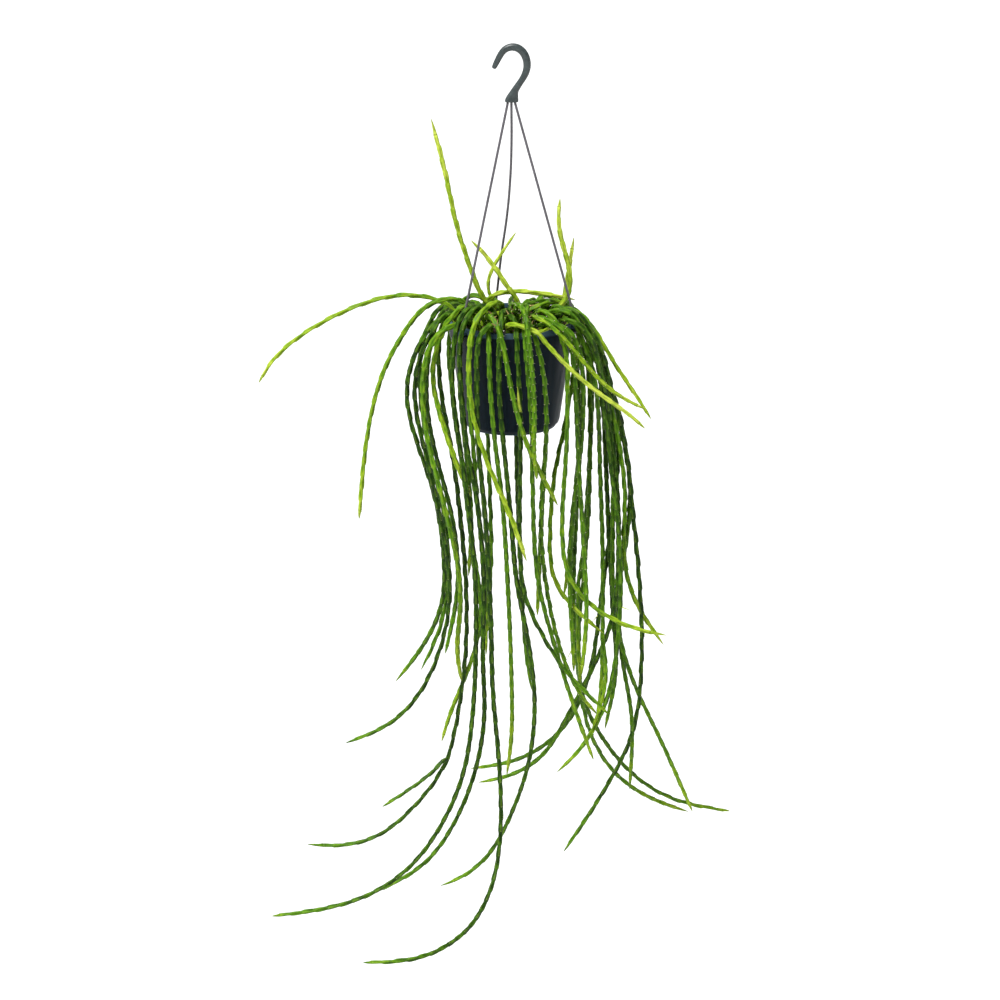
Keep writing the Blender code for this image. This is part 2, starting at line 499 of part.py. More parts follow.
def root_spots():
    """Even places for the stems in the soil, spread as seeds are in a sunflower's head."""
    golden = math.pi * (3 - math.sqrt(5))
    spots = []
    for k in range(ROOT_SPOTS):
        reach = ROOT_FIELD * math.sqrt((k + 0.5) / ROOT_SPOTS)
        spots.append((reach * math.cos(k * golden), reach * math.sin(k * golden)))
    return spots


def link_step(name):
    return STEP * CROWDED.get(name, 1.0)


def plan_stems():
    """Every stem's first line. Each takes the free root spot that lies nearest on its way."""
    free = root_spots()
    lines = {}
    order = sorted(ROUTES, key=lambda name: -math.hypot(*ROUTES[name][0][:2]))
    for name in order:
        x, y, drop = ROUTES[name][0]
        shrink = min(1.0, ROOT_FIELD / max(1.0, math.hypot(x, y))) * 0.86
        spot = min(free, key=lambda s: math.hypot(s[0] - x * shrink, s[1] - y * shrink))
        free.remove(spot)
        upright = [(*spot, SOIL_LEVEL + up) for up in (GAP - ROOT_DEPTH, -10.0, 1.0, UPRIGHT_ABOVE)]
        route = [(x1, y1, RIM_LEVEL - d1) for x1, y1, d1 in ROUTES[name]]
        lines[name] = smooth_line(upright + route, link_step(name))
    for name, (parent, start, route) in BRANCHES.items():
        start = (start[0], start[1], RIM_LEVEL - start[2])
        nearest = min(range(len(lines[parent])), key=lambda k: math.dist(lines[parent][k], start))
        whole = [tuple(lines[parent][nearest])] + [(x1, y1, RIM_LEVEL - d1) for x1, y1, d1 in route]
        lines[name] = smooth_line(whole, STEP * 0.8)
    return lines


def radius_along(name, count):
    """Ridge radius at each sample: stout below, slender towards the tip."""
    stout = STOUTNESS.get(name, 1.0)
    if name in BRANCHES:
        return np.linspace(*BRANCH_RADII, count) * stout
    along = np.linspace(0, 1, count)
    length = count * link_step(name)
    slim = min(1.0, length / FULL_LENGTH)
    end = STEM_RADIUS + (TIP_RADIUS - STEM_RADIUS) * (0.45 + 0.55 * slim)
    radius = STEM_RADIUS + (end - STEM_RADIUS) * along ** 0.75
    last = np.clip((1 - along) * length / TIP_TAPER, 0.0, 1.0)
    return radius * stout * (0.62 + 0.38 * last)


def pot_outline():
    """The pot's outline beside the stems, as (radius, level) corners from the soil, over the rim, down."""
    rim, collar_foot = RIM_LEVEL, RIM_LEVEL - COLLAR_HEIGHT
    inner = wall_radius(0) - POT_WALL - LIP_INSIDE
    return np.array([(inner, SOIL_LEVEL - 5), (inner, rim), (POT_RIM_RADIUS, rim),
                     (POT_RIM_RADIUS, collar_foot), (wall_radius(-COLLAR_HEIGHT), collar_foot),
                     (POT_BASE_RADIUS, rim - POT_HEIGHT), (0.0, rim - POT_HEIGHT)])


def push_from_pot(points, need):
    """Moves that bring points clear of the pot and of the soil's top."""
    outline = pot_outline()
    flat = np.stack([np.hypot(points[:, 0], points[:, 1]), points[:, 2]], axis=1)
    best = np.full(len(points), 1e9)
    nearest = np.zeros((len(points), 2))
    for a, b in zip(outline, outline[1:]):
        share = np.clip(((flat - a) @ (b - a)) / np.dot(b - a, b - a), 0, 1)
        foot = a + share[:, None] * (b - a)
        far = np.linalg.norm(flat - foot, axis=1)
        closer = far < best
        best[closer] = far[closer]
        nearest[closer] = foot[closer]
    level = flat[:, 1] - RIM_LEVEL
    outer = np.where(level > -COLLAR_HEIGHT, POT_RIM_RADIUS, wall_radius(level))
    inner = outline[0][0]
    within = (level < 0) & (level > -POT_HEIGHT) & (flat[:, 0] < outer) & (flat[:, 0] > inner)
    away = (flat - nearest) / np.maximum(best, 1e-6)[:, None]
    away[within] *= -1
    reach = np.where(within, need + best, need - best)
    reach = np.clip(reach, 0, None)
    moves = np.zeros_like(points)
    radial = points[:, :2] / np.maximum(flat[:, :1], 1e-6)
    moves[:, :2] = radial * (away[:, :1] * reach[:, None])
    moves[:, 2] = away[:, 1] * reach
    over_soil = (flat[:, 0] < inner) & (level > -SOIL_BELOW_RIM - 8)
    lift = SOIL_LEVEL + need - points[:, 2]
    moves[:, 2] += np.where(over_soil & (lift > 0), lift, 0)
    return moves


def fixed_things():
    """Points and radii that stand for the rods and the lugs."""
    points, radii = [], []
    for index in range(3):
        top, bow, end = rod_line(index)
        for place in smooth_line(top + bow + end, 3.0):
            points.append(place)
            radii.append(ROD_RADIUS + 0.2)
        for level in (LUG_TOP, LUG_TOP + LUG_TALL / 2, LUG_TOP + LUG_TALL, LUG_TOP + LUG_TALL + BUTTON_TALL):
            points.append(np.array((end[1][0], end[1][1], RIM_LEVEL - level)))
            radii.append(LUG_WIDE / 2 + 1.4)
    return np.array(points), np.array(radii)


def settle(lines):
    """Moves the stems gently apart, until none touches another, the pot, the soil or the hanger."""
    names = list(lines)
    radii = {name: radius_along(name, len(lines[name])) for name in names}
    fixed, fixed_radii = fixed_things()
    owner = np.concatenate([np.full(len(lines[name]), k) for k, name in enumerate(names)]
                           + [np.full(len(fixed), -1)])
    radius = np.concatenate([radii[name] for name in names] + [fixed_radii])
    starts = np.cumsum([0] + [len(lines[name]) for name in names])
    order = np.concatenate([np.arange(len(lines[name])) for name in names] + [np.zeros(len(fixed), int)])
    family = np.array([names.index(BRANCHES[name][0]) if name in BRANCHES else k
                       for k, name in enumerate(names)] + [-1])
    is_branch = np.array([name in BRANCHES for name in names] + [False])
    held = order * STEP < ROOT_DEPTH + UPRIGHT_ABOVE + 2
    held[is_branch[owner]] = False
    place = np.concatenate([lines[name] for name in names] + [fixed])
    free = starts[-1]
    widest = 2 * radius[:free].max() + STEM_CLEAR
    for turn in range(SETTLING_ROUNDS):
        tree = KDTree(len(place))
        for k, point in enumerate(place):
            tree.insert(point, k)
        tree.balance()
        moves = np.zeros_like(place)
        worst = 0.0
        for k in range(free):
            for _, other, far in tree.find_range(place[k], radius[k] + widest / 2 + STEP * 0.5):
                if owner[other] == owner[k]:
                    continue
                related = family[owner[k]] == family[owner[other]]
                if related and min(order[k] if is_branch[owner[k]] else 99,
                                   order[other] if is_branch[owner[other]] else 99) < FORK_FREE:
                    continue
                lack = radius[k] + radius[other] + STEM_CLEAR - far
                if lack <= 0:
                    continue
                worst = max(worst, lack)
                share = 1.0 if owner[other] < 0 else 0.5
                moves[k] += (place[k] - place[other]) / max(far, 1e-6) * lack * share * PUSH_APART
        clear_of_pot = push_from_pot(place[:free], radius[:free] + STEM_CLEAR)
        clear_of_pot[held[:free]] = 0
        moves[:free] += clear_of_pot * PUSH_FROM_POT
        moves[held] = 0
        for k, name in enumerate(names):
            a, b = starts[k], starts[k + 1]
            part = moves[a:b]
            for _ in range(3):
                wide = np.vstack([part[:1], part, part[-1:]])
                part = 0.25 * wide[:-2] + 0.5 * wide[1:-1] + 0.25 * wide[2:]
            part[held[a:b]] = 0
            place[a:b] += part * STRIDE
            line = place[a:b]
            bend = np.zeros_like(line)
            bend[1:-1] = (line[:-2] + line[2:]) / 2 - line[1:-1]
            bend[held[a:b]] = 0
            line += bend * STRAIGHTEN
        for k, name in enumerate(names):
            if name in BRANCHES:
                a = starts[k]
                parent = names.index(BRANCHES[name][0])
                own = place[starts[parent]:starts[parent + 1]]
                shift = own[np.argmin(np.linalg.norm(own - place[a], axis=1))] - place[a]
                fade = np.clip(1 - np.arange(starts[k + 1] - a) / FORK_FADE, 0, 1)[:, None]
                place[a:starts[k + 1]] += shift * fade
        if worst < SETTLED_AT:
            break
    print(f"stems settled in {turn + 1} rounds, largest lack {worst:.2f} mm")
    return {name: place[starts[k]:starts[k + 1]] for k, name in enumerate(names)}, radii


def stem_mesh(name, line, radius, chance):
    """Three-ridged links, each turned by 60 degrees on the one before, and a pointed tip."""
    first, second = frames_along(line)
    rows = list(range(0, len(line) - 2, SAMPLES_A_LINK))
    points, faces = [], []
    lean = chance.uniform(0, 2 * math.pi)
    for count, row in enumerate(rows):
        swell = radius[row] * (1.0 if count == 0 else chance.uniform(0.93, 1.0))
        for k in range(3):
            turn = lean + math.radians(60) * (count % 2) + math.radians(120) * k
            points.append(line[row] + swell * (first[row] * math.cos(turn) + second[row] * math.sin(turn)))
    for count in range(len(rows) - 1):
        here, there = 3 * count, 3 * count + 3
        turned_on = count % 2 == 0
        for k in range(3):
            after = (k + 1) % 3
            if turned_on:
                faces.append((here + k, here + after, there + k))
                faces.append((here + after, there + after, there + k))
            else:
                faces.append((here + k, here + after, there + after))
                faces.append((here + k, there + after, there + k))
    faces.append((2, 1, 0))
    last = 3 * (len(rows) - 1)
    points.append(line[-1])
    for k in range(3):
        faces.append((last + k, last + (k + 1) % 3, len(points) - 1))
    return points, faces


def make_stems(finish):
    lines, radii = settle(plan_stems())
    chance = random.Random(SEED)
    made = {}
    for name in ROUTES:
        made[name] = solid(name, *stem_mesh(name, lines[name], radii[name], chance), finish, smooth=False)
    for name, (parent, _, _) in BRANCHES.items():
        branch = solid(name, *stem_mesh(name, lines[name], radii[name], chance), None, smooth=False)
        cut(made[parent], branch, "UNION")
    return {name: lines[name][0][:2] for name in ROUTES}


def make_soil(roots, finish):
    rim = RIM_LEVEL
    low = rim - POT_HEIGHT + FOOT_STEP + POT_WALL + GAP
    inner = POT_WALL + GAP
    profile = [(0, SOIL_LEVEL), (wall_radius(SOIL_LEVEL - rim) - inner, SOIL_LEVEL),
               (wall_radius(low - rim) - inner, low), (0, low)]
    soil = solid("soil", *turned(profile, POT_SIDES), finish)
    places = [tuple(place) for place in roots.values()]
    widest = STEM_RADIUS * max(STOUTNESS.values()) + GAP
    holes = cylinders(places, widest, SOIL_LEVEL - ROOT_DEPTH, SOIL_LEVEL + 3, 7)
    cut(soil, solid("guide_root_holes", *holes, None, smooth=False))
    return soil


def main():
    clear_scene()
    hook_plastic = material("hook_plastic", (0.062, 0.080, 0.078), 0.42)
    rod_plastic = material("rod_plastic", (0.135, 0.130, 0.148), 0.38)
    pot_plastic = material("pot_plastic", (0.0137, 0.0232, 0.0273), 0.45)
    earth = material("earth", (0.030, 0.020, 0.013), 0.95)
    green = material("stem_green", (0.080, 0.205, 0.020), 0.42)
    make_hook(hook_plastic)
    for index in range(3):
        make_rod(index, rod_plastic)
    make_pot(pot_plastic)
    roots = make_stems(green)
    make_soil(roots, earth)


main()
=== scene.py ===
# %% [markdown]
# # A potted rhipsalis on its hanger, dressed for its picture
# A jungle cactus without leaves: long green stems made of short three-winged links rise from the
# soil, bend over the rim and hang far below a dark plastic pot. The pot hangs from a moulded hook
# by three plastic rods. The plain solids come with the frame. This lesson grows a finer stem over
# each plain one, turns a crisper pot, shapes the hook and the rods, and gives each piece a finish.

# %% Load the frame
import math
import random

import bmesh
import bpy
import numpy as np
from mathutils import Matrix, Vector


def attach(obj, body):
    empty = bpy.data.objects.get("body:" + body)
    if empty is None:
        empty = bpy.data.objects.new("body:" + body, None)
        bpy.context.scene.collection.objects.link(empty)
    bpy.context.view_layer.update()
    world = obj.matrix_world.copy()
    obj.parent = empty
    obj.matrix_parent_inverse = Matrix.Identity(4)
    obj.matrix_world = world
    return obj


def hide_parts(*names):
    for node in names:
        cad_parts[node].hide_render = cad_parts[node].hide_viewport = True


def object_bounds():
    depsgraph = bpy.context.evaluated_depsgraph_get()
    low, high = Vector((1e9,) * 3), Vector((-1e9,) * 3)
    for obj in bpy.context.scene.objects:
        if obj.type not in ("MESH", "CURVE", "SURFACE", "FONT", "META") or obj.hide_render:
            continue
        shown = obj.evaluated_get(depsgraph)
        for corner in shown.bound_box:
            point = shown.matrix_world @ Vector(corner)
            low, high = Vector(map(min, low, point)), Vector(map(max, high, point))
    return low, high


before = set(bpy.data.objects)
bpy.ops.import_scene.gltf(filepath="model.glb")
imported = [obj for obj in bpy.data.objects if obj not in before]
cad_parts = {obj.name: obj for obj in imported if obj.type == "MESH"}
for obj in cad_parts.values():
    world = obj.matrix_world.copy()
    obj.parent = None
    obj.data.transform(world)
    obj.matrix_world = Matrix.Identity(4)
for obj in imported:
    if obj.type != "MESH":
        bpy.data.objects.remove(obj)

MM = 0.001
plain_box = [[float(value) for value in corner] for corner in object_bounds()]
print("plain solids:", len(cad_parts), "box:", plain_box)

# %% [markdown]
# ## The camera
# The picture was taken from a little above, with a long lens, so the pot's rim shows as a thin
# ellipse. The view is level from side to side and looks 17.5 degrees down at a distance of 4 m.

# %% The camera
FAR = 600.0                     # how far the camera sees, in metres, and how wide the floor is
LOOK_DOWN = 17.5                # in degrees
lens = bpy.data.cameras.new("camera")
lens.lens, lens.sensor_width, lens.clip_end = 120.0, 36.0, FAR
camera = bpy.data.objects.new("camera", lens)
camera.location = (-0.0132, -3.8148, 0.660)
camera.rotation_euler = (math.radians(90.0 - LOOK_DOWN), 0.0, 0.0)
bpy.context.scene.collection.objects.link(camera)
bpy.context.scene.camera = camera
print("camera at", tuple(camera.location))

# %% [markdown]
# ## Small helpers for finishes
# A finish is a tree of nodes. It could be wired by hand in the Shader Editor, but a recipe in
# code can be read and changed in one place. One helper adds a node with its settings and its
# links, for every kind of node, and another sets the shader's sockets or links them.


# %% Helpers
def linear(code):
    """An sRGB hex colour as the linear values that Blender works in."""
    values = [int(code[k:k + 2], 16) / 255 for k in (1, 3, 5)]
    return [v / 12.92 if v <= 0.04045 else ((v + 0.055) / 1.055) ** 2.4 for v in values] + [1.0]


def add(finish, kind, settings=(), links=()):
    """Adds a node. settings go to its properties or sockets, and links say which output feeds
    which socket."""
    made = finish.node_tree.nodes.new(kind)
    for name, value in dict(settings).items():
        if isinstance(name, str) and hasattr(made, name):
            setattr(made, name, value)
        else:
            made.inputs[name].default_value = value
    for socket, output in dict(links).items():
        finish.node_tree.links.new(output, made.inputs[socket])
    return made


def new_finish(name):
    """An empty material with its shader, which the recipe then feeds."""
    finish = bpy.data.materials.new(name)
    finish.use_nodes = True
    return finish, finish.node_tree.nodes["Principled BSDF"]


def feed(finish, shader, **inputs):
    """Sets the shader's sockets, named with _ for a space, or links outputs to them."""
    for name, given in inputs.items():
        socket = shader.inputs[name.replace("_", " ")]
        if isinstance(given, bpy.types.NodeSocket):
            finish.node_tree.links.new(given, socket)
        else:
            socket.default_value = given


print("helpers ready")

# %% [markdown]
# ## Floor and light
# The pot hangs high in a white studio. The floor is plain and almost white, and it lies far enough
# below the stems that their shadows melt away on it. The light comes from two sources: a white sky
# that is weaker on the viewer's side, as a studio is where nothing is lit, and one broad lamp from
# above on the left, far away, so that it lights the floor evenly and gives each stem a bright side.
# Where the sky itself comes into view, behind the floor's end, it is shown plain white. An operator
# acts on whatever is selected, and loading leaves the plain solids selected, so each step here
# starts by selecting nothing, or one piece alone.

# %% Floor and light
FLOOR_BELOW = 1.6               # metres under the lowest tip
SKY_BRIGHT, SKY_DIM = 0.48, 0.05
LAMP_BRIGHT, LAMP_WIDE = 5.5, 24.0      # watts per square metre, degrees
LAMP_AIM = Vector((0.30, 0.42, -0.85))
floor_level = plain_box[0][2] - FLOOR_BELOW
bpy.ops.object.select_all(action="DESELECT")
bpy.ops.mesh.primitive_plane_add(size=FAR, location=(0.0, 0.0, floor_level))
floor = bpy.context.object
floor.name = "studio_floor"
pale, shader = new_finish("matt_white_floor")
feed(pale, shader, Base_Color=linear("#dedede"), Roughness=0.9)
floor.data.materials.append(pale)

sky = bpy.data.worlds.new("white_studio")
sky.use_nodes = True
way = add(sky, "ShaderNodeTexCoord").outputs["Generated"]
away = add(sky, "ShaderNodeSeparateXYZ", links={0: way}).outputs["Y"]
strength = add(sky, "ShaderNodeMapRange", {
    "From Min": -0.9, "From Max": 0.1, "To Min": SKY_DIM, "To Max": SKY_BRIGHT}, {"Value": away})
seen = add(sky, "ShaderNodeLightPath").outputs["Is Camera Ray"]
shown = add(sky, "ShaderNodeMath", {"operation": "MAXIMUM"},
            {0: strength.outputs["Result"], 1: seen})
feed(sky, sky.node_tree.nodes["Background"], Color=linear("#ffffff"),
     Strength=shown.outputs["Value"])
bpy.context.scene.world = sky
bpy.context.scene.view_settings.view_transform = "Standard"      # keeps the finishes' own colours

bpy.ops.object.select_all(action="DESELECT")
bpy.ops.object.light_add(type="SUN", location=(-2.0, -2.5, 3.0))
lamp = bpy.context.object
lamp.name, lamp.data.energy, lamp.data.angle = "broad_lamp", LAMP_BRIGHT, math.radians(LAMP_WIDE)
lamp.rotation_euler = LAMP_AIM.to_track_quat("-Z", "Y").to_euler()
print("floor at", round(floor_level, 3))

# %% [markdown]
# ## Finish of the stems
# The skin of a rhipsalis is smooth and slightly waxy. Old growth is deep green and a little matt,
# young growth is yellow green, and the wings are a touch browner towards their edges. The flutes
# between the wings are painted darker, as painted shade in the hollows.
# Each stem carries two values of its own: youth, which says how young the skin is there, and wing,
# which says how far out on a wing it lies. The colour follows them, so it stays on the surface.
# Youth also carries painted light: it is raised on the crown and on the free ends to make them
# paler.
# Fine pale pores cover a real stem at about 0.3 mm. They are drawn at 0.8 mm, to be seen at all.


# %% Colours in steps
def colour_steps(finish, factor, steps):
    """A colour ramp through (place, hex) steps."""
    ramp = add(finish, "ShaderNodeValToRGB", links={"Fac": factor})
    band = ramp.color_ramp
    while len(band.elements) < len(steps):
        band.elements.new(0.5)
    for element, (place, code) in zip(band.elements, steps):
        element.position, element.color = place, linear(code)
    return ramp.outputs["Color"]


print("colour ramps ready")

# %% Stem skin
PORE, GRAIN, BLOTCH = 0.8 * MM, 1.6 * MM, 9.0 * MM
skin, shader = new_finish("waxy_cactus_skin")
place = add(skin, "ShaderNodeTexCoord").outputs["Object"]
youth = add(skin, "ShaderNodeAttribute", {"attribute_name": "youth"}).outputs["Fac"]
wing = add(skin, "ShaderNodeAttribute", {"attribute_name": "wing"}).outputs["Fac"]
blotches = add(skin, "ShaderNodeTexNoise", {"Scale": 1 / BLOTCH, "Detail": 3.0}, {"Vector": place})
sway = add(skin, "ShaderNodeMapRange", {
    "From Min": 0.3, "From Max": 0.7, "To Min": -0.13, "To Max": 0.13},
    {"Value": blotches.outputs["Fac"]})
age = add(skin, "ShaderNodeMath", {"operation": "ADD", "use_clamp": True},
          {0: youth, 1: sway.outputs["Result"]})
green = colour_steps(skin, age.outputs["Value"], [
    (0.0, "#081c02"), (0.22, "#1c3c05"), (0.5, "#4d7a0e"), (0.75, "#86a31c"), (1.0, "#bccb4c")])
# painted shade: the flutes between the wings are darkened toward #0a1d04, as shade in the hollows
flute_shade = add(skin, "ShaderNodeMapRange", {
    "From Min": 0.0, "From Max": 0.55, "To Min": 0.52, "To Max": 0.0}, {"Value": wing})
deep = add(skin, "ShaderNodeMix", {"data_type": "RGBA", 7: linear("#0a1d04")},
           {0: flute_shade.outputs["Result"], 6: green})
edge = add(skin, "ShaderNodeMapRange", {"From Min": 0.55, "From Max": 1.0, "To Max": 0.18},
           {"Value": wing})
warmed = add(skin, "ShaderNodeMix", {"data_type": "RGBA", 7: linear("#7f9a2c")},
             {0: edge.outputs["Result"], 6: deep.outputs[2]})
pores = add(skin, "ShaderNodeTexVoronoi", {"Scale": 1 / PORE}, {"Vector": place})
speck = add(skin, "ShaderNodeMapRange", {
    "From Min": 0.16, "From Max": 0.3, "To Min": 0.18, "To Max": 0.0},
    {"Value": pores.outputs["Distance"]})
skin_colour = add(skin, "ShaderNodeMix", {"data_type": "RGBA", 7: linear("#a9c36e")},
                  {0: speck.outputs["Result"], 6: warmed.outputs[2]})
gloss = add(skin, "ShaderNodeMapRange", {
    "From Min": 0.3, "From Max": 0.7, "To Min": 0.42, "To Max": 0.58},
    {"Value": blotches.outputs["Fac"]})
grain = add(skin, "ShaderNodeTexNoise", {"Scale": 1 / GRAIN, "Detail": 2.0}, {"Vector": place})
relief = add(skin, "ShaderNodeBump", {"Strength": 0.35, "Distance": 0.25 * MM},
             {"Height": grain.outputs["Fac"]})
feed(skin, shader, Base_Color=skin_colour.outputs[2], Roughness=gloss.outputs["Result"],
     Normal=relief.outputs["Normal"], IOR=1.42, Specular_IOR_Level=0.13)
print("skin made for stems")

# %% [markdown]
# ## Felt and bristles
# Where a wing ends sits an areole, a tiny cushion of grey felt. On young stems it holds pale
# bristles 1 to 2 mm long, which show in the picture as whitish dots. Real felt could be grown as
# hair. At this size a dull ball with a spotted colour looks the same.


# %% Areole felt
def speckled(name, size, detail, steps, rough, relief=0.0):
    """A dull finish whose colour, and relief if wanted, vary in spots of a size in metres."""
    finish, shader = new_finish(name)
    place = add(finish, "ShaderNodeTexCoord").outputs["Object"]
    spots = add(finish, "ShaderNodeTexNoise", {"Scale": 1 / size, "Detail": detail},
                {"Vector": place})
    colour = colour_steps(finish, spots.outputs["Fac"], steps)
    feed(finish, shader, Base_Color=colour, Roughness=rough)
    if relief:
        bumps = add(finish, "ShaderNodeBump", {"Strength": 0.8, "Distance": relief},
                    {"Height": spots.outputs["Fac"]})
        feed(finish, shader, Normal=bumps.outputs["Normal"])
    return finish


felt = speckled("areole_felt", 0.5 * MM, 2.0, [(0.3, "#71803f"), (0.7, "#a9a878")], rough=0.95)
bristle = speckled("pale_bristle", 2.0 * MM, 1.0, [(0.3, "#d8cfae"), (0.7, "#efe9d6")], rough=0.6)
print("felt and bristle made")

# %% [markdown]
# ## One link, modelled once
# A stem is a chain of links. At the end of a link three wings reach their full height and stop,
# and three new ones have begun between them, so the next link is the same form turned by 60
# degrees. One link could be sculpted, but a ring that is extruded row by row and then raised by a
# formula is exact, and its two ends fit each other. It is one unit long and one unit in radius.

# %% The link's form
SIDES = 18
CORE = 0.55                     # radius of the flutes, where the wings are one
WING_BEGINS, WING_RISES = -1.45, 1.3    # in links from its areole, and over how many
WING_STOPS, WING_DROPS = -0.04, 0.36
WING_SHARP = 1.3
LINK_ROWS = (0.0, 0.09, 0.21, 0.38, 0.60, 0.82, 1.0)
TIP_ROWS = (0.0, 0.12, 0.30, 0.50, 0.68, 0.82, 0.92, 0.98)


def ease(value):
    """A soft step from 0 to 1."""
    value = np.clip(value, 0.0, 1.0)
    return value * value * (3 - 2 * value)


def wing_height(past):
    """Height of a wing, from 0 to 1, at a distance past its areole in links."""
    return np.minimum(ease((past - WING_BEGINS) / WING_RISES),
                      1 - ease((past - WING_STOPS) / WING_DROPS))


def across_wings(angle):
    """How near a direction is to one of three wings, from 0 to 1."""
    off = (angle + math.pi / 3) % (2 * math.pi / 3) - math.pi / 3
    return np.clip(np.cos(1.5 * off), 0, 1) ** WING_SHARP


def extruded_rows(name, rows):
    """A tube along X, one row of faces between each two values."""
    bpy.ops.object.select_all(action="DESELECT")
    bpy.ops.mesh.primitive_circle_add(vertices=SIDES, radius=1.0, rotation=(0, math.radians(90), 0))
    tube = bpy.context.object
    tube.name = name
    bpy.ops.object.transform_apply(location=False, rotation=True, scale=False)
    bpy.ops.object.mode_set(mode="EDIT")
    bpy.ops.mesh.select_all(action="SELECT")
    for before, after in zip(rows, rows[1:]):
        bpy.ops.mesh.extrude_region_move(TRANSFORM_OT_translate={"value": (after - before, 0, 0)})
    bpy.ops.object.mode_set(mode="OBJECT")
    return tube


def read_points(piece):
    """The points of a piece, a row each."""
    values = np.empty(3 * len(piece.data.vertices))
    piece.data.vertices.foreach_get("co", values)
    return values.reshape(-1, 3)


def write_points(piece, values):
    """Moves the points of a piece to new places."""
    piece.data.vertices.foreach_set("co", values.ravel())
    piece.data.update()


def write_value(piece, name, values):
    """Stores one named value for each point."""
    layer = piece.data.attributes.get(name) or piece.data.attributes.new(name, "FLOAT", "POINT")
    layer.data.foreach_set("value", np.asarray(values, dtype=np.float32))


def raise_wings(tube, fade=None):
    """Moves the tube's points out to the wings. fade shrinks the section along the tube."""
    points = read_points(tube)
    along, angle = points[:, 0], np.arctan2(points[:, 2], points[:, 1])
    ended = np.maximum(wing_height(along), wing_height(along - 2))
    begun = np.maximum(wing_height(along - 1), wing_height(along + 1))
    height = ended * across_wings(angle) + begun * across_wings(angle + math.pi / 3)
    if fade is not None:
        height = height * (1 - along)
    radius = CORE + (1 - CORE) * height
    if fade is not None:
        radius = radius * fade(along)
    points[:, 1], points[:, 2] = radius * np.cos(angle), radius * np.sin(angle)
    write_points(tube, points)
    write_value(tube, "wing", height)


link = extruded_rows("link", LINK_ROWS)
raise_wings(link)
link.data.materials.append(skin)
print("one link:", len(link.data.polygons), "faces")

# %% [markdown]
# ## The tip of a stem
# A growing tip narrows to a blunt point. It could be a cone, but then its wings would end in a
# step. It is the same tube as the link, closed at its end, with the wings fading out.

# %% The tip's form
tip = extruded_rows("tip", TIP_ROWS)
raise_wings(tip, fade=lambda along: (1 - along ** 2) ** 0.75 + 0.02)
bpy.ops.object.mode_set(mode="EDIT")
bpy.ops.mesh.edge_face_add()
bpy.ops.mesh.poke()
bpy.ops.object.mode_set(mode="OBJECT")
tip.data.materials.append(skin)
print("one tip:", len(tip.data.polygons), "faces")

# %% [markdown]
# ## Areoles
# The cushion is a small ball, half sunk in the notch where a wing stops. The link is 15 mm long
# and about 3.5 mm in radius, so a round cushion is much shorter than wide in the link's own units.
# A bristle is a slim three-sided spike. They could be scattered as particles, but joined to the
# link once they repeat with it and bend with it.


# %% Helpers for pieces
def alone(piece):
    """Selects one piece and nothing else."""
    bpy.ops.object.select_all(action="DESELECT")
    piece.select_set(True)
    bpy.context.view_layer.objects.active = piece


def placed(name, data=None):
    """A new object in the scene."""
    piece = bpy.data.objects.new(name, data)
    bpy.context.scene.collection.objects.link(piece)
    return piece


def copied(piece, name):
    """A copy with a mesh of its own."""
    twin = piece.copy()
    twin.data = piece.data.copy()
    twin.name = name
    bpy.context.scene.collection.objects.link(twin)
    return twin


def joined(pieces):
    """Joins pieces into the first one."""
    alone(pieces[0])
    for piece in pieces[1:]:
        piece.select_set(True)
    if len(pieces) > 1:
        bpy.ops.object.join()
    return pieces[0]


def polar(out, turn):
    """The place (x, y) at a distance from the axis, in a direction in radians."""
    return out * math.cos(turn), out * math.sin(turn)


print("pieces can be copied and joined")

# %% Areoles and bristles
LINK_LENGTH, LINK_RADIUS = 15.0 * MM, 3.5 * MM
FELT, YOUNG_FELT = 0.40 * MM, 0.56 * MM         # radii of the cushions
BRISTLE_LONG, BRISTLE_THICK = 2.0 * MM, 0.16 * MM
AREOLE_AT, AREOLE_OUT = 0.05, 0.93      # in the link's length and radius
SPREADS = (-1.0, 0.0, 1.0)              # one bristle each, leaning to the side by its spread
FAN, LEAN, LEAN_LESS = 32, 28, 30       # in degrees: to the side, forwards, and less at the side


def with_areoles(tube, bristles):
    """Joins three felt cushions to a link, and bristles to each."""
    parts, size = [tube], YOUNG_FELT if bristles else FELT
    for k in range(3):
        turn = math.radians(120) * k
        bpy.ops.object.select_all(action="DESELECT")
        bpy.ops.mesh.primitive_ico_sphere_add(subdivisions=1, radius=1.0)
        cushion = bpy.context.object
        cushion.scale = (size / LINK_LENGTH, size / LINK_RADIUS, size / LINK_RADIUS)
        cushion.location = (AREOLE_AT, *polar(AREOLE_OUT, turn))
        cushion.data.materials.append(felt)
        parts.append(cushion)
        for spread in (SPREADS if bristles else ()):
            bpy.ops.object.select_all(action="DESELECT")
            bpy.ops.mesh.primitive_cone_add(vertices=3, radius1=BRISTLE_THICK, depth=BRISTLE_LONG)
            spike = bpy.context.object
            spike.data.transform(Matrix.Translation((0, 0, BRISTLE_LONG / 2)))
            aim = Matrix.Rotation(turn, 4, "X") @ Matrix.Rotation(math.radians(-90), 4, "X")
            fan = Matrix.Rotation(math.radians(FAN * spread), 4, "X")
            lean = Matrix.Rotation(math.radians(LEAN - LEAN_LESS * abs(spread)), 4, "Y")
            spike.data.transform(aim @ (fan @ lean))
            spike.data.transform(
                Matrix.Diagonal((1 / LINK_LENGTH, 1 / LINK_RADIUS, 1 / LINK_RADIUS, 1)))
            spike.location = cushion.location
            spike.data.materials.append(bristle)
            parts.append(spike)
    joined(parts)
    bpy.ops.object.transform_apply(location=True, rotation=True, scale=True)
    return tube


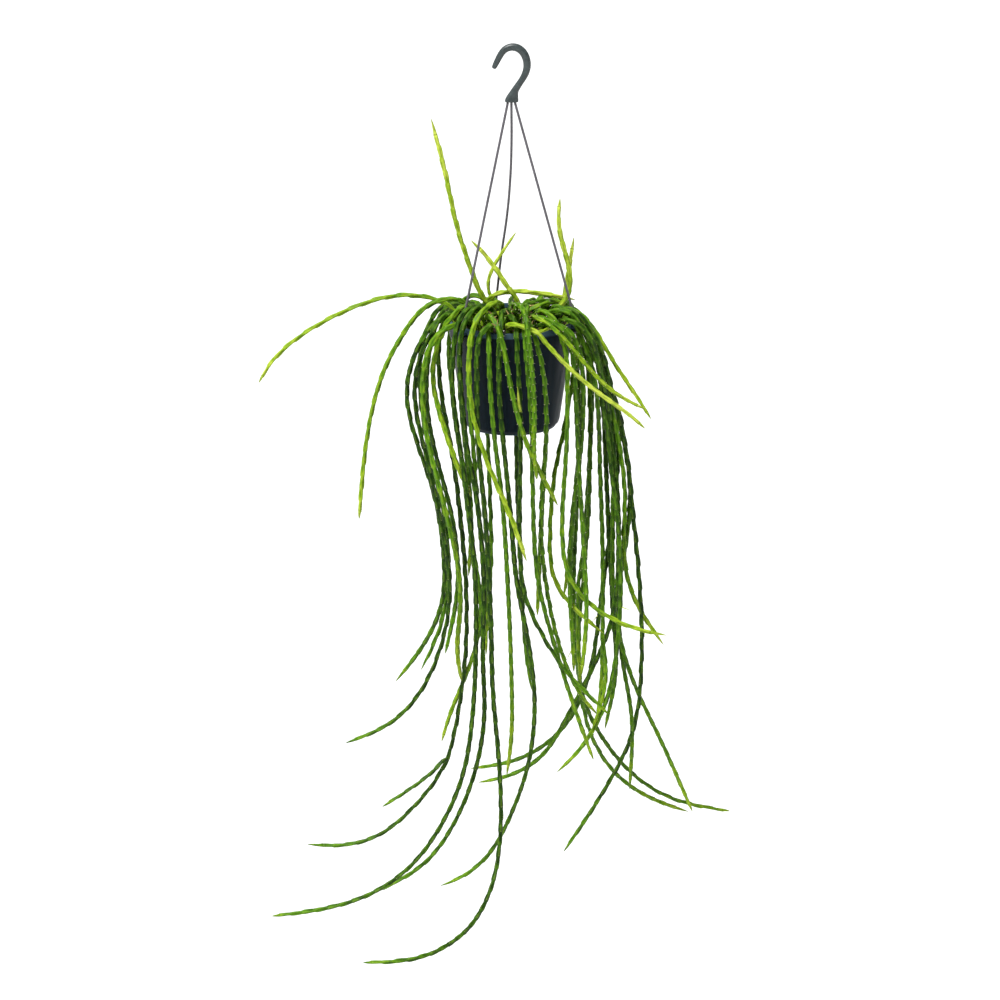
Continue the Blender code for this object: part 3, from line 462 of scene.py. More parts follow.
young_link = with_areoles(copied(link, "young_link"), bristles=True)
link = with_areoles(link, bristles=False)
young_tip = with_areoles(copied(tip, "young_tip"), bristles=True)
tip = with_areoles(tip, bristles=False)
turn_on = placed("turn_on")
turn_on.location, turn_on.rotation_euler = (1.0, 0.0, 0.0), (math.radians(60), 0.0, 0.0)
for piece in (link, young_link, tip, young_tip):
    print(piece.name, "with areoles:", len(piece.data.polygons), "faces")

# %% [markdown]
# ## Where each stem runs
# The plain stem is a chain of rings with three corners each, so the line of a stem can be read
# from it: start at the ring at its root and step from ring to ring up to the single point at the
# tip. On the three stems that branch, the rings near the fork are broken by the union, so the line
# is also read backwards from each tip, and the short gap at the fork is bridged. The lines could
# be written down once more, but read from the solids they can't differ from them.

# %% From ring to ring
ROOT_LEVEL, LEVEL_SLACK = -0.3504, 0.0012       # in metres
EVEN_SPAN, LEAST_TAPER = (0.75, 1.3), 0.85      # in shares of the usual span, of the ring before


def walk(start):
    """Rings of three corners, one after another, from a first ring or from a tip."""
    seen, rings = set(start), [list(start)]
    while True:
        after = {e.other_vert(v) for v in rings[-1] for e in v.link_edges} - seen
        if len(after) != 3:
            return rings, list(after)
        rings.append(list(after))
        seen |= after


def middle(ring):
    """The mean place of a ring's corners."""
    return np.mean([corner.co[:] for corner in ring], axis=0)


def reach(ring):
    """The mean distance of a ring's corners from its middle."""
    return float(np.mean([np.linalg.norm(np.array(c.co[:]) - middle(ring)) for c in ring]))


def tidy_chain(rings):
    """Leaves out rings at the fork's side that stand out of the even spacing."""
    while len(rings) > 3:
        spans = [np.linalg.norm(middle(a) - middle(b)) for a, b in zip(rings, rings[1:])]
        even = EVEN_SPAN[0] < spans[-1] / np.median(spans) < EVEN_SPAN[1]
        if even and reach(rings[-1]) / reach(rings[-2]) > LEAST_TAPER:
            break
        rings = rings[:-1]
    return rings


print("rings can be read")


# %% Reading the plain stems
def bridged(first, second, step):
    """Centres and radii along two chains and evenly across the gap between them."""
    (centres, radii), (more, more_radii) = first, second
    gap = np.linalg.norm(more[0] - centres[-1])
    fill = max(0, round(gap / step) - 1)
    start = centres[-1] - centres[-2]
    end = more[1] - more[0] if len(more) > 1 else more[0] - centres[-1]
    for k in range(fill):
        t = (k + 1) / (fill + 1)
        a, b = first[0][-1] + start * t * (fill + 1), more[0] - end * (1 - t) * (fill + 1)
        centres = np.vstack([centres, a * (1 - t) + b * t])
        radii = np.append(radii, first[1][-1] * (1 - t) + more_radii[0] * t)
    return np.vstack([centres, more]), np.append(radii, more_radii)


def read_stem(node):
    """The stem's lines: a list of (centres, radii, first ridge). The first is the stem itself, the
    others are its branches. The last centre of each is the tip."""
    plan = bmesh.new()
    plan.from_mesh(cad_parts[node].data)
    bmesh.ops.remove_doubles(plan, verts=plan.verts, dist=1e-6)
    root = next(face for face in plan.faces
                if all(abs(v.co.z - ROOT_LEVEL) < LEVEL_SLACK for v in face.verts))
    corners = list(root.verts)
    ridge = np.array(corners[0].co[:]) - middle(corners)
    rings, last = walk(corners)
    if len(last) == 1:
        lines = [(np.vstack([[middle(r) for r in rings], last[0].co[:]]),
                  np.array([reach(r) for r in rings]), ridge)]
        plan.free()
        return lines
    rings = tidy_chain(rings)
    centres, radii = np.array([middle(r) for r in rings]), np.array([reach(r) for r in rings])
    ahead = centres[-1] - centres[-2]
    step = float(np.median(np.linalg.norm(np.diff(centres, axis=0), axis=1)))
    chains = []
    for point in plan.verts:
        if len(point.link_edges) == 3:
            back, _ = walk([point])
            if len(back) > 2:
                chains.append(tidy_chain(back)[::-1])
    chains.sort(key=lambda c: -float(np.dot(middle(c[0]) - centres[-1], ahead)
                                     / np.linalg.norm(middle(c[0]) - centres[-1])))
    lines = []
    for chain in chains:
        line = np.array([middle(r) for r in chain])
        thick = np.array([reach(r) for r in chain[:-1]])
        if not lines:
            whole, whole_radii = bridged((centres, radii), (line[:-1], thick), step)
            lines.append((np.vstack([whole, line[-1]]), whole_radii, ridge))
            continue
        main = lines[0][0]
        foot = main[np.argmin(np.linalg.norm(main - line[0] - (line[0] - line[1]), axis=1))]
        count = max(1, round(np.linalg.norm(foot - line[0]) / (step * 0.8)))
        root_part = np.linspace(foot, line[0], count, endpoint=False)
        thick = np.append(np.full(count, thick[0]), thick)
        lines.append((np.vstack([root_part, line]), thick, None))
    plan.free()
    return lines


stem_nodes = [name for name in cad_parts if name.startswith("stem_")]
stem_lines = {name: read_stem(name) for name in stem_nodes}
for name, lines in stem_lines.items():
    if len(lines) > 1:
        print(name, "forks:", [f"{len(centres) - 1} links" for centres, _, _ in lines])
print("links in all:", sum(len(c) - 1 for lines in stem_lines.values() for c, _, _ in lines))

# %% [markdown]
# ## Growing a stem along its line
# An Array modifier repeats the link, each copy one link further and turned by 60 degrees, and puts
# the tip at the end. A Curve modifier then bends the straight chain along a smooth path through
# the ring centres. Before that, the chain is stretched so that each link meets its own ring, and
# it is turned about its axis so that its wings stand where the plain stem has its ridges. It
# could be placed link by link, but then the links would meet at an angle in each bend.


# %% Helpers for growing
def modified(piece, kind, **settings):
    """Adds a modifier of any kind, sets it and applies it."""
    alone(piece)
    step = piece.modifiers.new("step", kind)
    for name, value in settings.items():
        setattr(step, name, value)
    bpy.ops.object.modifier_apply(modifier="step")


def closed(piece):
    """Fills the open ends of the piece that stands alone."""
    bpy.ops.object.mode_set(mode="EDIT")
    bpy.ops.mesh.select_all(action="SELECT")
    bpy.ops.mesh.fill_holes(sides=SIDES)
    bpy.ops.object.mode_set(mode="OBJECT")
    return piece


print("modifiers can be applied")


# %% Growing
def grow(name, centres, radii, ridge, bristles=False):
    """A stem of links from its centres, with the tip last. Returns the piece and each point's
    distance from the tip."""
    stem = copied(young_link if bristles else link, name)
    modified(stem, "ARRAY", fit_type="FIXED_COUNT", count=max(1, len(centres) - 2),
             use_relative_offset=False, use_object_offset=True, offset_object=turn_on,
             use_merge_vertices=True, merge_threshold=0.002, end_cap=young_tip if bristles else tip)
    points = read_points(stem)
    spans = np.linalg.norm(np.diff(centres, axis=0), axis=1)
    run = np.concatenate([[0.0], np.cumsum(spans)])
    along = np.interp(points[:, 0], np.arange(len(run)), run)
    along = along + np.minimum(points[:, 0], 0) * spans[0]
    thick = np.interp(points[:, 0], np.arange(len(radii)), radii)
    write_points(stem, np.stack([along, points[:, 1] * thick, points[:, 2] * thick], axis=1))

    path = bpy.data.curves.new("path", "CURVE")
    path.dimensions, path.resolution_u, path.twist_mode = "3D", 8, "MINIMUM"
    path.use_stretch = path.use_deform_bounds = True
    spline = path.splines.new("BEZIER")
    spline.bezier_points.add(len(centres) - 1)
    for point, place in zip(spline.bezier_points, centres):
        point.co = place
        point.handle_left_type = point.handle_right_type = "AUTO"
    way = placed("path", path)
    bend = stem.modifiers.new("bend", "CURVE")
    bend.object, bend.deform_axis = way, "POS_X"
    if ridge is not None:
        # the point at the foot that stands on the first wing, where Z is 0 and Y is largest
        nearest = int(np.argmin(np.abs(along) * 100 + np.abs(points[:, 2]) - points[:, 1] * 0.01))
        shown = stem.evaluated_get(bpy.context.evaluated_depsgraph_get()).data
        now = np.array(shown.vertices[nearest].co[:]) - centres[0]
        tangent = (centres[1] - centres[0]) / spans[0]
        now, want = now - tangent * now.dot(tangent), ridge - tangent * ridge.dot(tangent)
        turn = math.atan2(np.cross(now, want).dot(tangent), now.dot(want))
        stem.data.transform(Matrix.Rotation(turn, 4, "X"))
    bpy.ops.object.modifier_apply(modifier="bend")
    bpy.data.objects.remove(way)
    closed(stem).data.shade_smooth()
    return stem, run[-1] - along


print("stems can grow")

# %% [markdown]
# ## How young each stem is
# Old stems on the shaded side are deep green, strong new ones are yellow green over their whole
# length, and every stem is lighter over the last few centimetres. The list gives the stems that
# differ from the rest. The others get a value from a seeded draw, so that neighbours differ. The
# colours could be painted on by hand, but a value for each point follows the stem wherever it bends.
# The lists also say which stems have bristles, and where a stem is slimmer or fuller. The crown
# and the free ends are painted paler as well, which is painted light: they stand in full light.

# %% How the stems differ
YOUTH = {
    "stem_up_1": 0.72, "stem_up_2": 0.76, "stem_up_3": 0.72, "stem_up_4": 0.72, "stem_up_5": 0.76,
    "stem_up_6": 0.70, "stem_arch_1": 0.57, "stem_arch_2": 0.50, "stem_arch_3": 0.88,
    "stem_arch_4": 0.56, "stem_arch_5": 0.53, "stem_mid_1": 0.60, "stem_left_03": 0.52,
    "stem_left_04": 0.48, "stem_left_10": 0.40, "stem_left_11": 0.37, "stem_mid_3": 0.42,
    "stem_right_14": 0.48, "stem_right_15": 0.46, "stem_right_16": 0.46, "stem_mid_2": 0.42,
    "stem_left_01": 0.20, "stem_left_02": 0.14, "stem_left_07": 0.16, "stem_left_08": 0.20,
    "stem_left_09": 0.20, "stem_left_12": 0.18, "stem_mid_4": 0.22, "stem_right_03": 0.14,
    "stem_mid_8": 0.34, "stem_mid_7": 0.36, "stem_left_05": 0.16, "stem_left_06": 0.16,
}
YOUTH_ELSEWHERE = (0.18, 0.36)
BRISTLY = {"stem_mid_8", "stem_mid_7", "stem_mid_2", "stem_arch_4", "stem_right_09",
           "stem_right_01", "stem_right_11", "stem_right_14"}
# Lengths and levels in this list are in metres, the other values are shares.
TIP_FADE = 0.070                         # over this length a tip grows lighter
TIP_LIGHTER, LIGHTER_WITH_YOUTH, TIP_LIGHTEST = 0.30, 0.90, 0.9     # a dark stem has a greener tip
FOOT_GREENER, FOOT_FADE = 0.60, 0.075    # a strong new stem is greener at its foot
CROWN_PAINTED_LIGHT, CROWN_FADE = 0.22, 0.120    # painted light: the crown stands in full light, so it is painted paler
END_PAINTED_LIGHT, BRANCH_PALER = 0.07, 0.05     # painted light makes the free ends paler too, and a side branch is newer
SLIM_FOOT = (0.66, 0.66, 0.70, 0.80, 0.92)              # the first links are slimmer
SLIM = {"stem_arch_3": 0.80, "stem_arch_4": 0.84, "stem_arch_5": 0.86, "stem_up_3": 0.80}
FULLER, FULLER_FROM, FULLER_TO = 0.14, -0.42, -0.62     # wings open wider on the hanging ends
BLUNT, BLUNT_OVER = 0.15, 0.080                         # and stay wide almost up to the tip
print("stems with a youth of their own:", len(YOUTH))

# %% Growing all the stems
chance = random.Random(5)
stems = {}
for node in stem_nodes:
    base = YOUTH.get(node, chance.uniform(*YOUTH_ELSEWHERE))
    grown = []
    for index, (centres, radii, ridge) in enumerate(stem_lines[node]):
        low = ease((FULLER_FROM - centres[:len(radii), 2]) / (FULLER_FROM - FULLER_TO))
        to_tip = np.linalg.norm(np.diff(centres, axis=0), axis=1)[::-1].cumsum()[::-1][:len(radii)]
        slim = radii * SLIM.get(node, 1.0)
        slim = slim * (1 + FULLER * low) * (1 + BLUNT * np.exp(-to_tip / BLUNT_OVER))
        if index == 0:
            slim[:len(SLIM_FOOT)] *= SLIM_FOOT
        piece, from_tip = grow(f"grown_{node}", centres, slim, ridge, node in BRISTLY)
        own = base + (BRANCH_PALER if index else 0.0)
        from_foot = from_tip.max() - from_tip
        own = own * (1 - FOOT_GREENER * base ** 2 * np.exp(-from_foot / FOOT_FADE))
        if index == 0:
            # painted light: the crown and the free ends are made paler, where they stand in full
            # light
            own = own + CROWN_PAINTED_LIGHT * (1 - base) * np.exp(-(from_foot / CROWN_FADE) ** 2)
            own = own + END_PAINTED_LIGHT * (from_foot / from_foot.max()) ** 2
        lighter = min(TIP_LIGHTEST, TIP_LIGHTER + LIGHTER_WITH_YOUTH * base)
        young = own + lighter * (1 - own) * np.exp(-from_tip / TIP_FADE)
        write_value(piece, "youth", young)
        grown.append(piece)
    stems[node] = joined(grown)
    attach(grown[0], "root")
    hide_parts(node)
print("stems:", len(stems), "faces:", sum(len(p.data.polygons) for p in stems.values()))

# %% [markdown]
# ## Small new shoots on old stems
# Here and there an areole wakes and a small shoot starts. Each is one tip form, slim and bright,
# whose foot lies inside the stem that carries it. It could grow from links as a long stem does,
# but it is no longer than one. The list gives the stem, the place of the foot and of the end in
# millimetres from the hook's seat, and the radius.

# %% Small shoots
SHOOTS = [
    ("stem_mid_5", (9.5, -89, -406.6), (7.1, -98, -373.9), 2.9),
    ("stem_right_09", (74.6, -40, -716.0), (66.9, -44, -731.0), 0.9),
    ("stem_right_12", (108.2, 18, -694.0), (98.3, 13, -702.7), 0.9),
    ("stem_right_06", (131.8, -27, -669.0), (144.4, -31, -672.4), 0.9),
]
SHOOT_YOUTH = 0.95


def add_shoot(node, start, stop, radius, finish=None):
    """Joins one tip form, from start to stop in metres, with a radius in millimetres, to a stem."""
    shoot = copied(tip, "shoot")
    shoot.data.transform(Matrix.Diagonal(((stop - start).length, radius * MM, radius * MM, 1.0)))
    shoot.data.transform((stop - start).to_track_quat("X", "Z").to_matrix().to_4x4())
    shoot.data.transform(Matrix.Translation(start))
    shoot.data.shade_smooth()
    write_value(shoot, "youth", np.full(len(shoot.data.vertices), SHOOT_YOUTH))
    if finish:
        shoot.data.materials[0] = finish
    closed(joined([stems[node], shoot]))


for node, foot, end, radius in SHOOTS:
    add_shoot(node, Vector(foot) * MM, Vector(end) * MM, radius)
print("small shoots:", len(SHOOTS))

# %% [markdown]
# ## Dry remains
# Over the front of the crown some shoots have died back to brown, shrivelled ends as long as a
# fingernail. They could be modelled one by one. The tip form in a brown finish is enough at their
# size. Each sits on a stem, where that stem passes the middle of the front.

# %% Dry remains
dry = speckled("dried_cactus_skin", 1.5 * MM, 2.0, [(0.3, "#5d4a22"), (0.7, "#b39a62")], rough=0.8)
DRY_ON = ["stem_mid_8", "stem_mid_5", "stem_mid_6", "stem_mid_7", "stem_mid_2", "stem_mid_3"]
DRY_EACH, DRY_NEAR = 4, Vector((8, -64, -302)) * MM     # so many on each stem, on its nearest rings
DRY_LONG, DRY_RADIUS = (6, 11), (0.9, 1.5)              # in millimetres
chance = random.Random(21)
for node in DRY_ON * DRY_EACH:
    line = stem_lines[node][0][0]
    near = np.argsort(np.linalg.norm(line - DRY_NEAR, axis=1))[:DRY_EACH]
    start = Vector(line[chance.choice(list(near))])
    aim = Vector((chance.uniform(-1, 1), chance.uniform(-1, 0.2), chance.uniform(0.2, 1)))
    end = start + aim.normalized() * chance.uniform(*DRY_LONG) * MM
    add_shoot(node, start, end, chance.uniform(*DRY_RADIUS), dry)
print("dry remains:", DRY_EACH * len(DRY_ON))

# %% [markdown]
# ## Short shoots in the crown
# Between the feet of the long stems stand short shoots, and they hide the soil. They could be set
# by hand. A seeded draw is quicker: each shoot gets a spot, has one to three links and a tip, and
# leans outwards, and it is kept only if it stays clear of every stem and shoot that stands there.

# %% Short shoots
CROWN_SHOOTS, CROWN_REACH, CROWN_CLEAR = 22, 62.0 * MM, 5.6 * MM
CROWN_FOOT, CROWN_LEVEL = -0.342, -0.340        # in metres; stems are kept clear above the level
CROWN_LINK, CROWN_THICK = 9.5, (3.1, 2.2)       # in millimetres; radius at the foot and at the end
CROWN_LEAN, CROWN_LINKS, CROWN_YOUTH, CROWN_TIP = (0.1, 0.55), (1, 3), (0.3, 0.6), 0.35
TRIES = 4000
taken = np.vstack([centres for lines in stem_lines.values() for centres, _, _ in lines])
taken = taken[taken[:, 2] > CROWN_LEVEL]
taken = np.vstack([taken, (taken[1:] + taken[:-1]) / 2])
chance = random.Random(12)
short = []
for _ in range(TRIES):
    out, turn = CROWN_REACH * math.sqrt(chance.random()), chance.uniform(0, 2 * math.pi)
    lean, links = chance.uniform(*CROWN_LEAN), chance.randint(*CROWN_LINKS)
    way_out = Vector((*polar(1.0, turn), 0))
    line = [Vector((0, 0, CROWN_FOOT)) + way_out * out]
    heading = Vector((0, 0, 1))
    for _ in range(links + 1):
        heading = (heading + way_out * lean * 0.5).normalized()
        line.append(line[-1] + heading * CROWN_LINK * MM)
    line = np.array([point[:] for point in line])
    gaps = np.linalg.norm(line[:, None, :] - taken[None, :, :], axis=2)
    if gaps.min() < CROWN_CLEAR:
        continue
    taken = np.vstack([taken, line])
    radii = np.linspace(*CROWN_THICK, len(line) - 1) * MM
    piece, from_tip = grow("crown_shoot", line, radii, None, bristles=chance.random() < 0.5)
    own = chance.uniform(*CROWN_YOUTH)
    write_value(piece, "youth", own + CROWN_TIP * np.exp(-from_tip / (TIP_FADE / 3)))
    short.append(piece)
    if len(short) == CROWN_SHOOTS:
        break
crown = closed(joined(short))
crown.name = "crown_shoots"
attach(crown, "root")
for master in (link, tip, young_link, young_tip, turn_on):
    bpy.data.objects.remove(master)
print("short shoots:", len(short), "faces:", len(crown.data.polygons))

# %% [markdown]
# ## Moulded plastics
# The pot is thin injection-moulded polypropylene, dark blue grey and dull, with faint upright flow
# marks, a little dust near the rim, and a painted highlight along its lip and its foot's edge. The
# hook is the same kind of plastic in a greener grey, and the rods are drawn in a lighter purple
# grey.
# A moulded surface has a fine spark texture of about 0.2 mm, which is drawn at 0.7 mm, to be seen at
# all.

# %% Plastics
SPARK, DUST_PATCH = 0.7 * MM, 5.0 * MM


def moulded(name, dark, light, rough, streak, dust=None):
    """A moulded plastic: two colours in streaks, a fine grain, and dust that lies on its upper
    faces. streak is the size of the marks across and along Z."""
    finish, shader = new_finish(name)
    place = add(finish, "ShaderNodeTexCoord").outputs["Object"]
    drawn = add(finish, "ShaderNodeMapping", {
        "Scale": (1 / streak[0], 1 / streak[0], 1 / streak[1])}, {"Vector": place})
    marks = add(finish, "ShaderNodeTexNoise", {"Scale": 1.0, "Detail": 3.0},
                {"Vector": drawn.outputs["Vector"]})
    colour = colour_steps(finish, marks.outputs["Fac"], [(0.32, dark), (0.68, light)])
    if dust:
        normal = add(finish, "ShaderNodeNewGeometry").outputs["Normal"]
        up = add(finish, "ShaderNodeSeparateXYZ", links={0: normal}).outputs["Z"]
        patches = add(finish, "ShaderNodeTexNoise", {"Scale": 1 / DUST_PATCH, "Detail": 4.0},
                      {"Vector": place})
        lying = add(finish, "ShaderNodeMapRange", {
            "From Min": 0.25, "From Max": 1.0, "To Max": 0.55}, {"Value": up})
        amount = add(finish, "ShaderNodeMath", {"operation": "MULTIPLY"},
                     {0: lying.outputs["Result"], 1: patches.outputs["Fac"]})
        colour = add(finish, "ShaderNodeMix", {"data_type": "RGBA", 7: linear(dust)},
                     {0: amount.outputs["Value"], 6: colour}).outputs[2]
    grain = add(finish, "ShaderNodeTexNoise", {"Scale": 1 / SPARK, "Detail": 2.0}, {"Vector": place})
    relief = add(finish, "ShaderNodeBump", {"Strength": 0.25, "Distance": 0.1 * MM},
                 {"Height": grain.outputs["Fac"]})
    sheen = add(finish, "ShaderNodeMapRange", {
        "From Min": 0.3, "From Max": 0.7, "To Min": rough - 0.06, "To Max": rough + 0.08},
        {"Value": marks.outputs["Fac"]})
    feed(finish, shader, Base_Color=colour, Roughness=sheen.outputs["Result"],
         Normal=relief.outputs["Normal"], IOR=1.49)
    return finish, shader


pot_finish, pot_shader = moulded("moulded_pot_polypropylene", "#061219", "#0c1e29", 0.50,
                                 (1.3 * MM, 60 * MM), "#4a5b63")
feed(pot_finish, pot_shader, Specular_IOR_Level=0.08, Coat_Weight=0.20, Coat_IOR=1.18,
     Coat_Roughness=0.08)       # the coat is the polished skin from the mould
print("moulded plastic made for the pot")

# %% Painted highlights on the pot's edges, and the other plastics
# The collar's lip and the foot's edge are painted lighter, as a painted highlight where light
# catches them.
LIP_UNDER, LIP_TALL, LIP_HIGHLIGHT = -324.8 * MM, 1.5 * MM, 0.78
FOOT_EDGE, SOLE_TALL, SOLE_HIGHLIGHT = -444.6 * MM, 1.0 * MM, 0.5
place = add(pot_finish, "ShaderNodeTexCoord").outputs["Object"]
level = add(pot_finish, "ShaderNodeSeparateXYZ", links={0: place}).outputs["Z"]
lip = add(pot_finish, "ShaderNodeMapRange", {
    "From Min": LIP_UNDER, "From Max": LIP_UNDER + LIP_TALL, "To Max": LIP_HIGHLIGHT}, {"Value": level})
sole = add(pot_finish, "ShaderNodeMapRange", {
    "From Min": FOOT_EDGE, "From Max": FOOT_EDGE - SOLE_TALL, "To Max": SOLE_HIGHLIGHT},
    {"Value": level})
painted_highlight = add(pot_finish, "ShaderNodeMath", {"operation": "MAXIMUM"},
             {0: lip.outputs["Result"], 1: sole.outputs["Result"]})
# painted highlight: the lip band and the foot's edge are mixed toward a lighter blue grey
highlighted_colour = add(pot_finish, "ShaderNodeMix", {"data_type": "RGBA", 7: linear("#3f5863")},
           {0: painted_highlight.outputs["Value"], 6: pot_shader.inputs["Base Color"].links[0].from_socket})
feed(pot_finish, pot_shader, Base_Color=highlighted_colour.outputs[2])
hook_finish, _ = moulded("moulded_hook_polypropylene", "#2a3232", "#394242", 0.42, (6 * MM, 6 * MM))
rod_finish, _ = moulded("drawn_rod_polypropylene", "#454348", "#5f5c61", 0.42, (0.9 * MM, 40 * MM))
print("plastics made")

# %% [markdown]
# ## The pot
# The pot is a turned form: a collar round the top that stands out a little and ends in a lip, a
# plain tapered wall, and a stepped foot. Its half section is drawn as a line of
# points and spun round the axis in 96 steps, so that the rim is a smooth circle, and its edges are
# then rounded as a mould rounds them. Cylinders could be stacked and cut instead, but a turned
# section keeps the wall's thickness in one list.

# %% Turning the pot
RIM, FOOT = -317.7, -446.7                       # levels in millimetres below the hook's seat
SPIN_STEPS = 96
POT_SECTION = [
    (0, -441.9), (55.9, -441.9), (72.2, -324.7), (70.8, -322.7), (70.8, -318.5), (71.6, RIM),
    (74.0, RIM), (75.0, -318.7), (75.0, -324.7), (74.2, -325.5), (73.2, -335.7), (72.3, -335.7),
    (57.9, -439.0), (57.0, -442.1), (55.0, -443.5), (54.6, -443.5), (53.4, FOOT), (51.0, FOOT),
    (50.2, -443.5), (0, -443.5)]
POT_EDGE = 0.35 * MM                     # how wide its edges are rounded
CREASE = math.radians(35.0)              # a sharper edge is rounded
POT_SMOOTH, BAR_SMOOTH = math.radians(32), math.radians(40)     # flatter edges are shaded smooth
WELD = 0.01 * MM                         # points nearer than this become one


def bevelled(piece, width, segments=2):
    """Rounds the sharp edges."""
    modified(piece, "BEVEL", width=width, segments=segments, limit_method="ANGLE",
             angle_limit=CREASE)


def welded():
    """Merges the points that meet, in the piece that stands alone, and turns its faces outwards."""
    bpy.ops.object.mode_set(mode="EDIT")
    bpy.ops.mesh.select_all(action="SELECT")
    bpy.ops.mesh.remove_doubles(threshold=WELD)
    bpy.ops.mesh.normals_make_consistent(inside=False)
    bpy.ops.object.mode_set(mode="OBJECT")


outline = bpy.data.meshes.new("turned_pot")
outline.from_pydata([(r * MM, 0, z * MM) for r, z in POT_SECTION],
                    [(k, k + 1) for k in range(len(POT_SECTION) - 1)], [])
pot = placed("turned_pot", outline)
alone(pot)
bpy.ops.object.mode_set(mode="EDIT")
bpy.ops.mesh.select_all(action="SELECT")
bpy.ops.mesh.spin(steps=SPIN_STEPS, angle=2 * math.pi, center=(0, 0, 0), axis=(0, 0, 1))
bpy.ops.object.mode_set(mode="OBJECT")
welded()
bevelled(pot, POT_EDGE)
print("turned pot:", len(pot.data.polygons), "faces")

# %% [markdown]
# ## Lugs and drain holes
# Three lugs are moulded onto the collar, with a hole for each rod, and the floor has drain holes.
# They don't run all the way round, so they can't be part of the turned section. They could be
# extruded from its faces. A Boolean modifier is simpler: each is a small form that is joined to
# the pot or cut from it.

# %% Lugs and drain holes
LUG_AZIMUTHS = (223.0, 343.0, 103.0)
ROD_OUT, LUG_IN, LUG_OUT, LUG_WIDE, LUG_TALL, LUG_LEVEL = 78.0, 73.2, 82.0, 8.0, 6.0, -323.7
LUG_HOLE, LUG_CUT = 1.7, 4.5             # radius, and how far the cut goes up and down
LUG_EDGE = 0.9 * MM                      # how wide its edges are rounded
DRAINS, DRAIN_OUT, DRAIN_RADIUS, DRAIN_TOP = 6, 34.0, 3.5, -440.0


def carved(piece, tool, operation):
    """Joins or cuts with another piece, which is then removed."""
    modified(piece, "BOOLEAN", operation=operation, object=tool, solver="EXACT")
    bpy.data.objects.remove(tool)


def peg(place, radius, low, high, sides=24):
    """An upright cylinder between two levels, all in millimetres."""
    bpy.ops.object.select_all(action="DESELECT")
    bpy.ops.mesh.primitive_cylinder_add(vertices=sides, radius=radius * MM, depth=(high - low) * MM,
                                        location=(place[0] * MM, place[1] * MM,
                                                  (low + high) / 2 * MM))
    bpy.ops.object.transform_apply(location=True, rotation=True, scale=True)
    return bpy.context.object


for azimuth in LUG_AZIMUTHS:
    bpy.ops.object.select_all(action="DESELECT")
    bpy.ops.mesh.primitive_cube_add(
        size=1.0, location=((LUG_IN + LUG_OUT) / 2 * MM, 0, LUG_LEVEL * MM),
        scale=((LUG_OUT - LUG_IN) * MM, LUG_WIDE * MM, LUG_TALL * MM))
    lug = bpy.context.object
    bpy.ops.object.transform_apply(location=True, rotation=True, scale=True)
    bevelled(lug, LUG_EDGE, 3)
    lug.data.transform(Matrix.Rotation(math.radians(azimuth), 4, "Z"))
    carved(pot, lug, "UNION")
    spot = polar(ROD_OUT, math.radians(azimuth))
    carved(pot, peg(spot, LUG_HOLE, LUG_LEVEL - LUG_CUT, LUG_LEVEL + LUG_CUT), "DIFFERENCE")
for k in range(DRAINS):
    spot = polar(DRAIN_OUT, 2 * math.pi * k / DRAINS)
    carved(pot, peg(spot, DRAIN_RADIUS, FOOT - 1, DRAIN_TOP), "DIFFERENCE")
alone(pot)
bpy.ops.object.shade_smooth_by_angle(angle=POT_SMOOTH)
pot.data.materials.clear()
pot.data.materials.append(pot_finish)
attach(pot, "root")
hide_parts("pot")
print("pot:", len(pot.data.polygons), "faces")

# %% [markdown]
# ## The rods
# Each rod runs from a socket in the hook's foot to a lug on the pot, and ends in a button under
# the lug. A rod could be a stretched cylinder. It is drawn as a path with a round bevel, because
# then the rear rod can hang slightly bowed and the button is a wider end of the same path.

# %% Drawing the rods
ROD_RADIUS, ROD_SIDES = 1.5, 16
ROD_HEADS = (-4.4, 4.4, 0.0)             # where each rod enters the hook's foot, across X
HEAD_TOP, HEAD_BASE = -55.5, -62.0       # the part of a rod that sits in the hook's foot
REAR_BOW = [(0.2, 13, -112), (-1.4, 28, -160), (-5, 42, -204), (-11.5, 58, -254)]
REAR_SOFT = {1, 2, 3, 4, 5}              # the rear rod bends softly at these places
LUG_LEVELS = (RIM + 5, -326.9, -327.1)   # from above the rim down through the lug
BUTTON = [(-327.4, 2.7), (-328.8, 2.7), (-329.6, 1.7)]      # levels and radii


def drawn(name, places, radii, sides, straight=()):
    """A round rod through places in millimetres, each with its radius."""
    path = bpy.data.curves.new(name, "CURVE")
    path.dimensions, path.resolution_u, path.use_fill_caps = "3D", 6, True
    path.bevel_depth, path.bevel_resolution = 1.0 * MM, sides // 4 - 1
    spline = path.splines.new("BEZIER")
    spline.bezier_points.add(len(places) - 1)
    for k, (point, place, radius) in enumerate(zip(spline.bezier_points, places, radii)):
        point.co, point.radius = [c * MM for c in place], radius
        point.handle_left_type = point.handle_right_type = "VECTOR" if k in straight else "AUTO"
    alone(placed(name, path))
    bpy.ops.object.convert(target="MESH")
    welded()
    bpy.ops.object.shade_smooth_by_angle(angle=BAR_SMOOTH)
    return bpy.context.object


for k, azimuth in enumerate(LUG_AZIMUTHS):
    spot, rear = polar(ROD_OUT, math.radians(azimuth)), k == 2
    places = [(ROD_HEADS[k], 0, HEAD_TOP), (ROD_HEADS[k], 0, HEAD_BASE)]
    places += REAR_BOW if rear else []
    places += [(*spot, level) for level in LUG_LEVELS]
    radii = [ROD_RADIUS] * len(places) + [wide for _, wide in BUTTON]
    places += [(*spot, level) for level, _ in BUTTON]
    bends = set(range(len(places))) - (REAR_SOFT if rear else set())
    rod = drawn(f"drawn_rod_{k + 1}", places, radii, ROD_SIDES, bends)
    rod.data.materials.append(rod_finish)
    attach(rod, "root")
    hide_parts(f"hanger_rod_{k + 1}")
print("rods drawn")

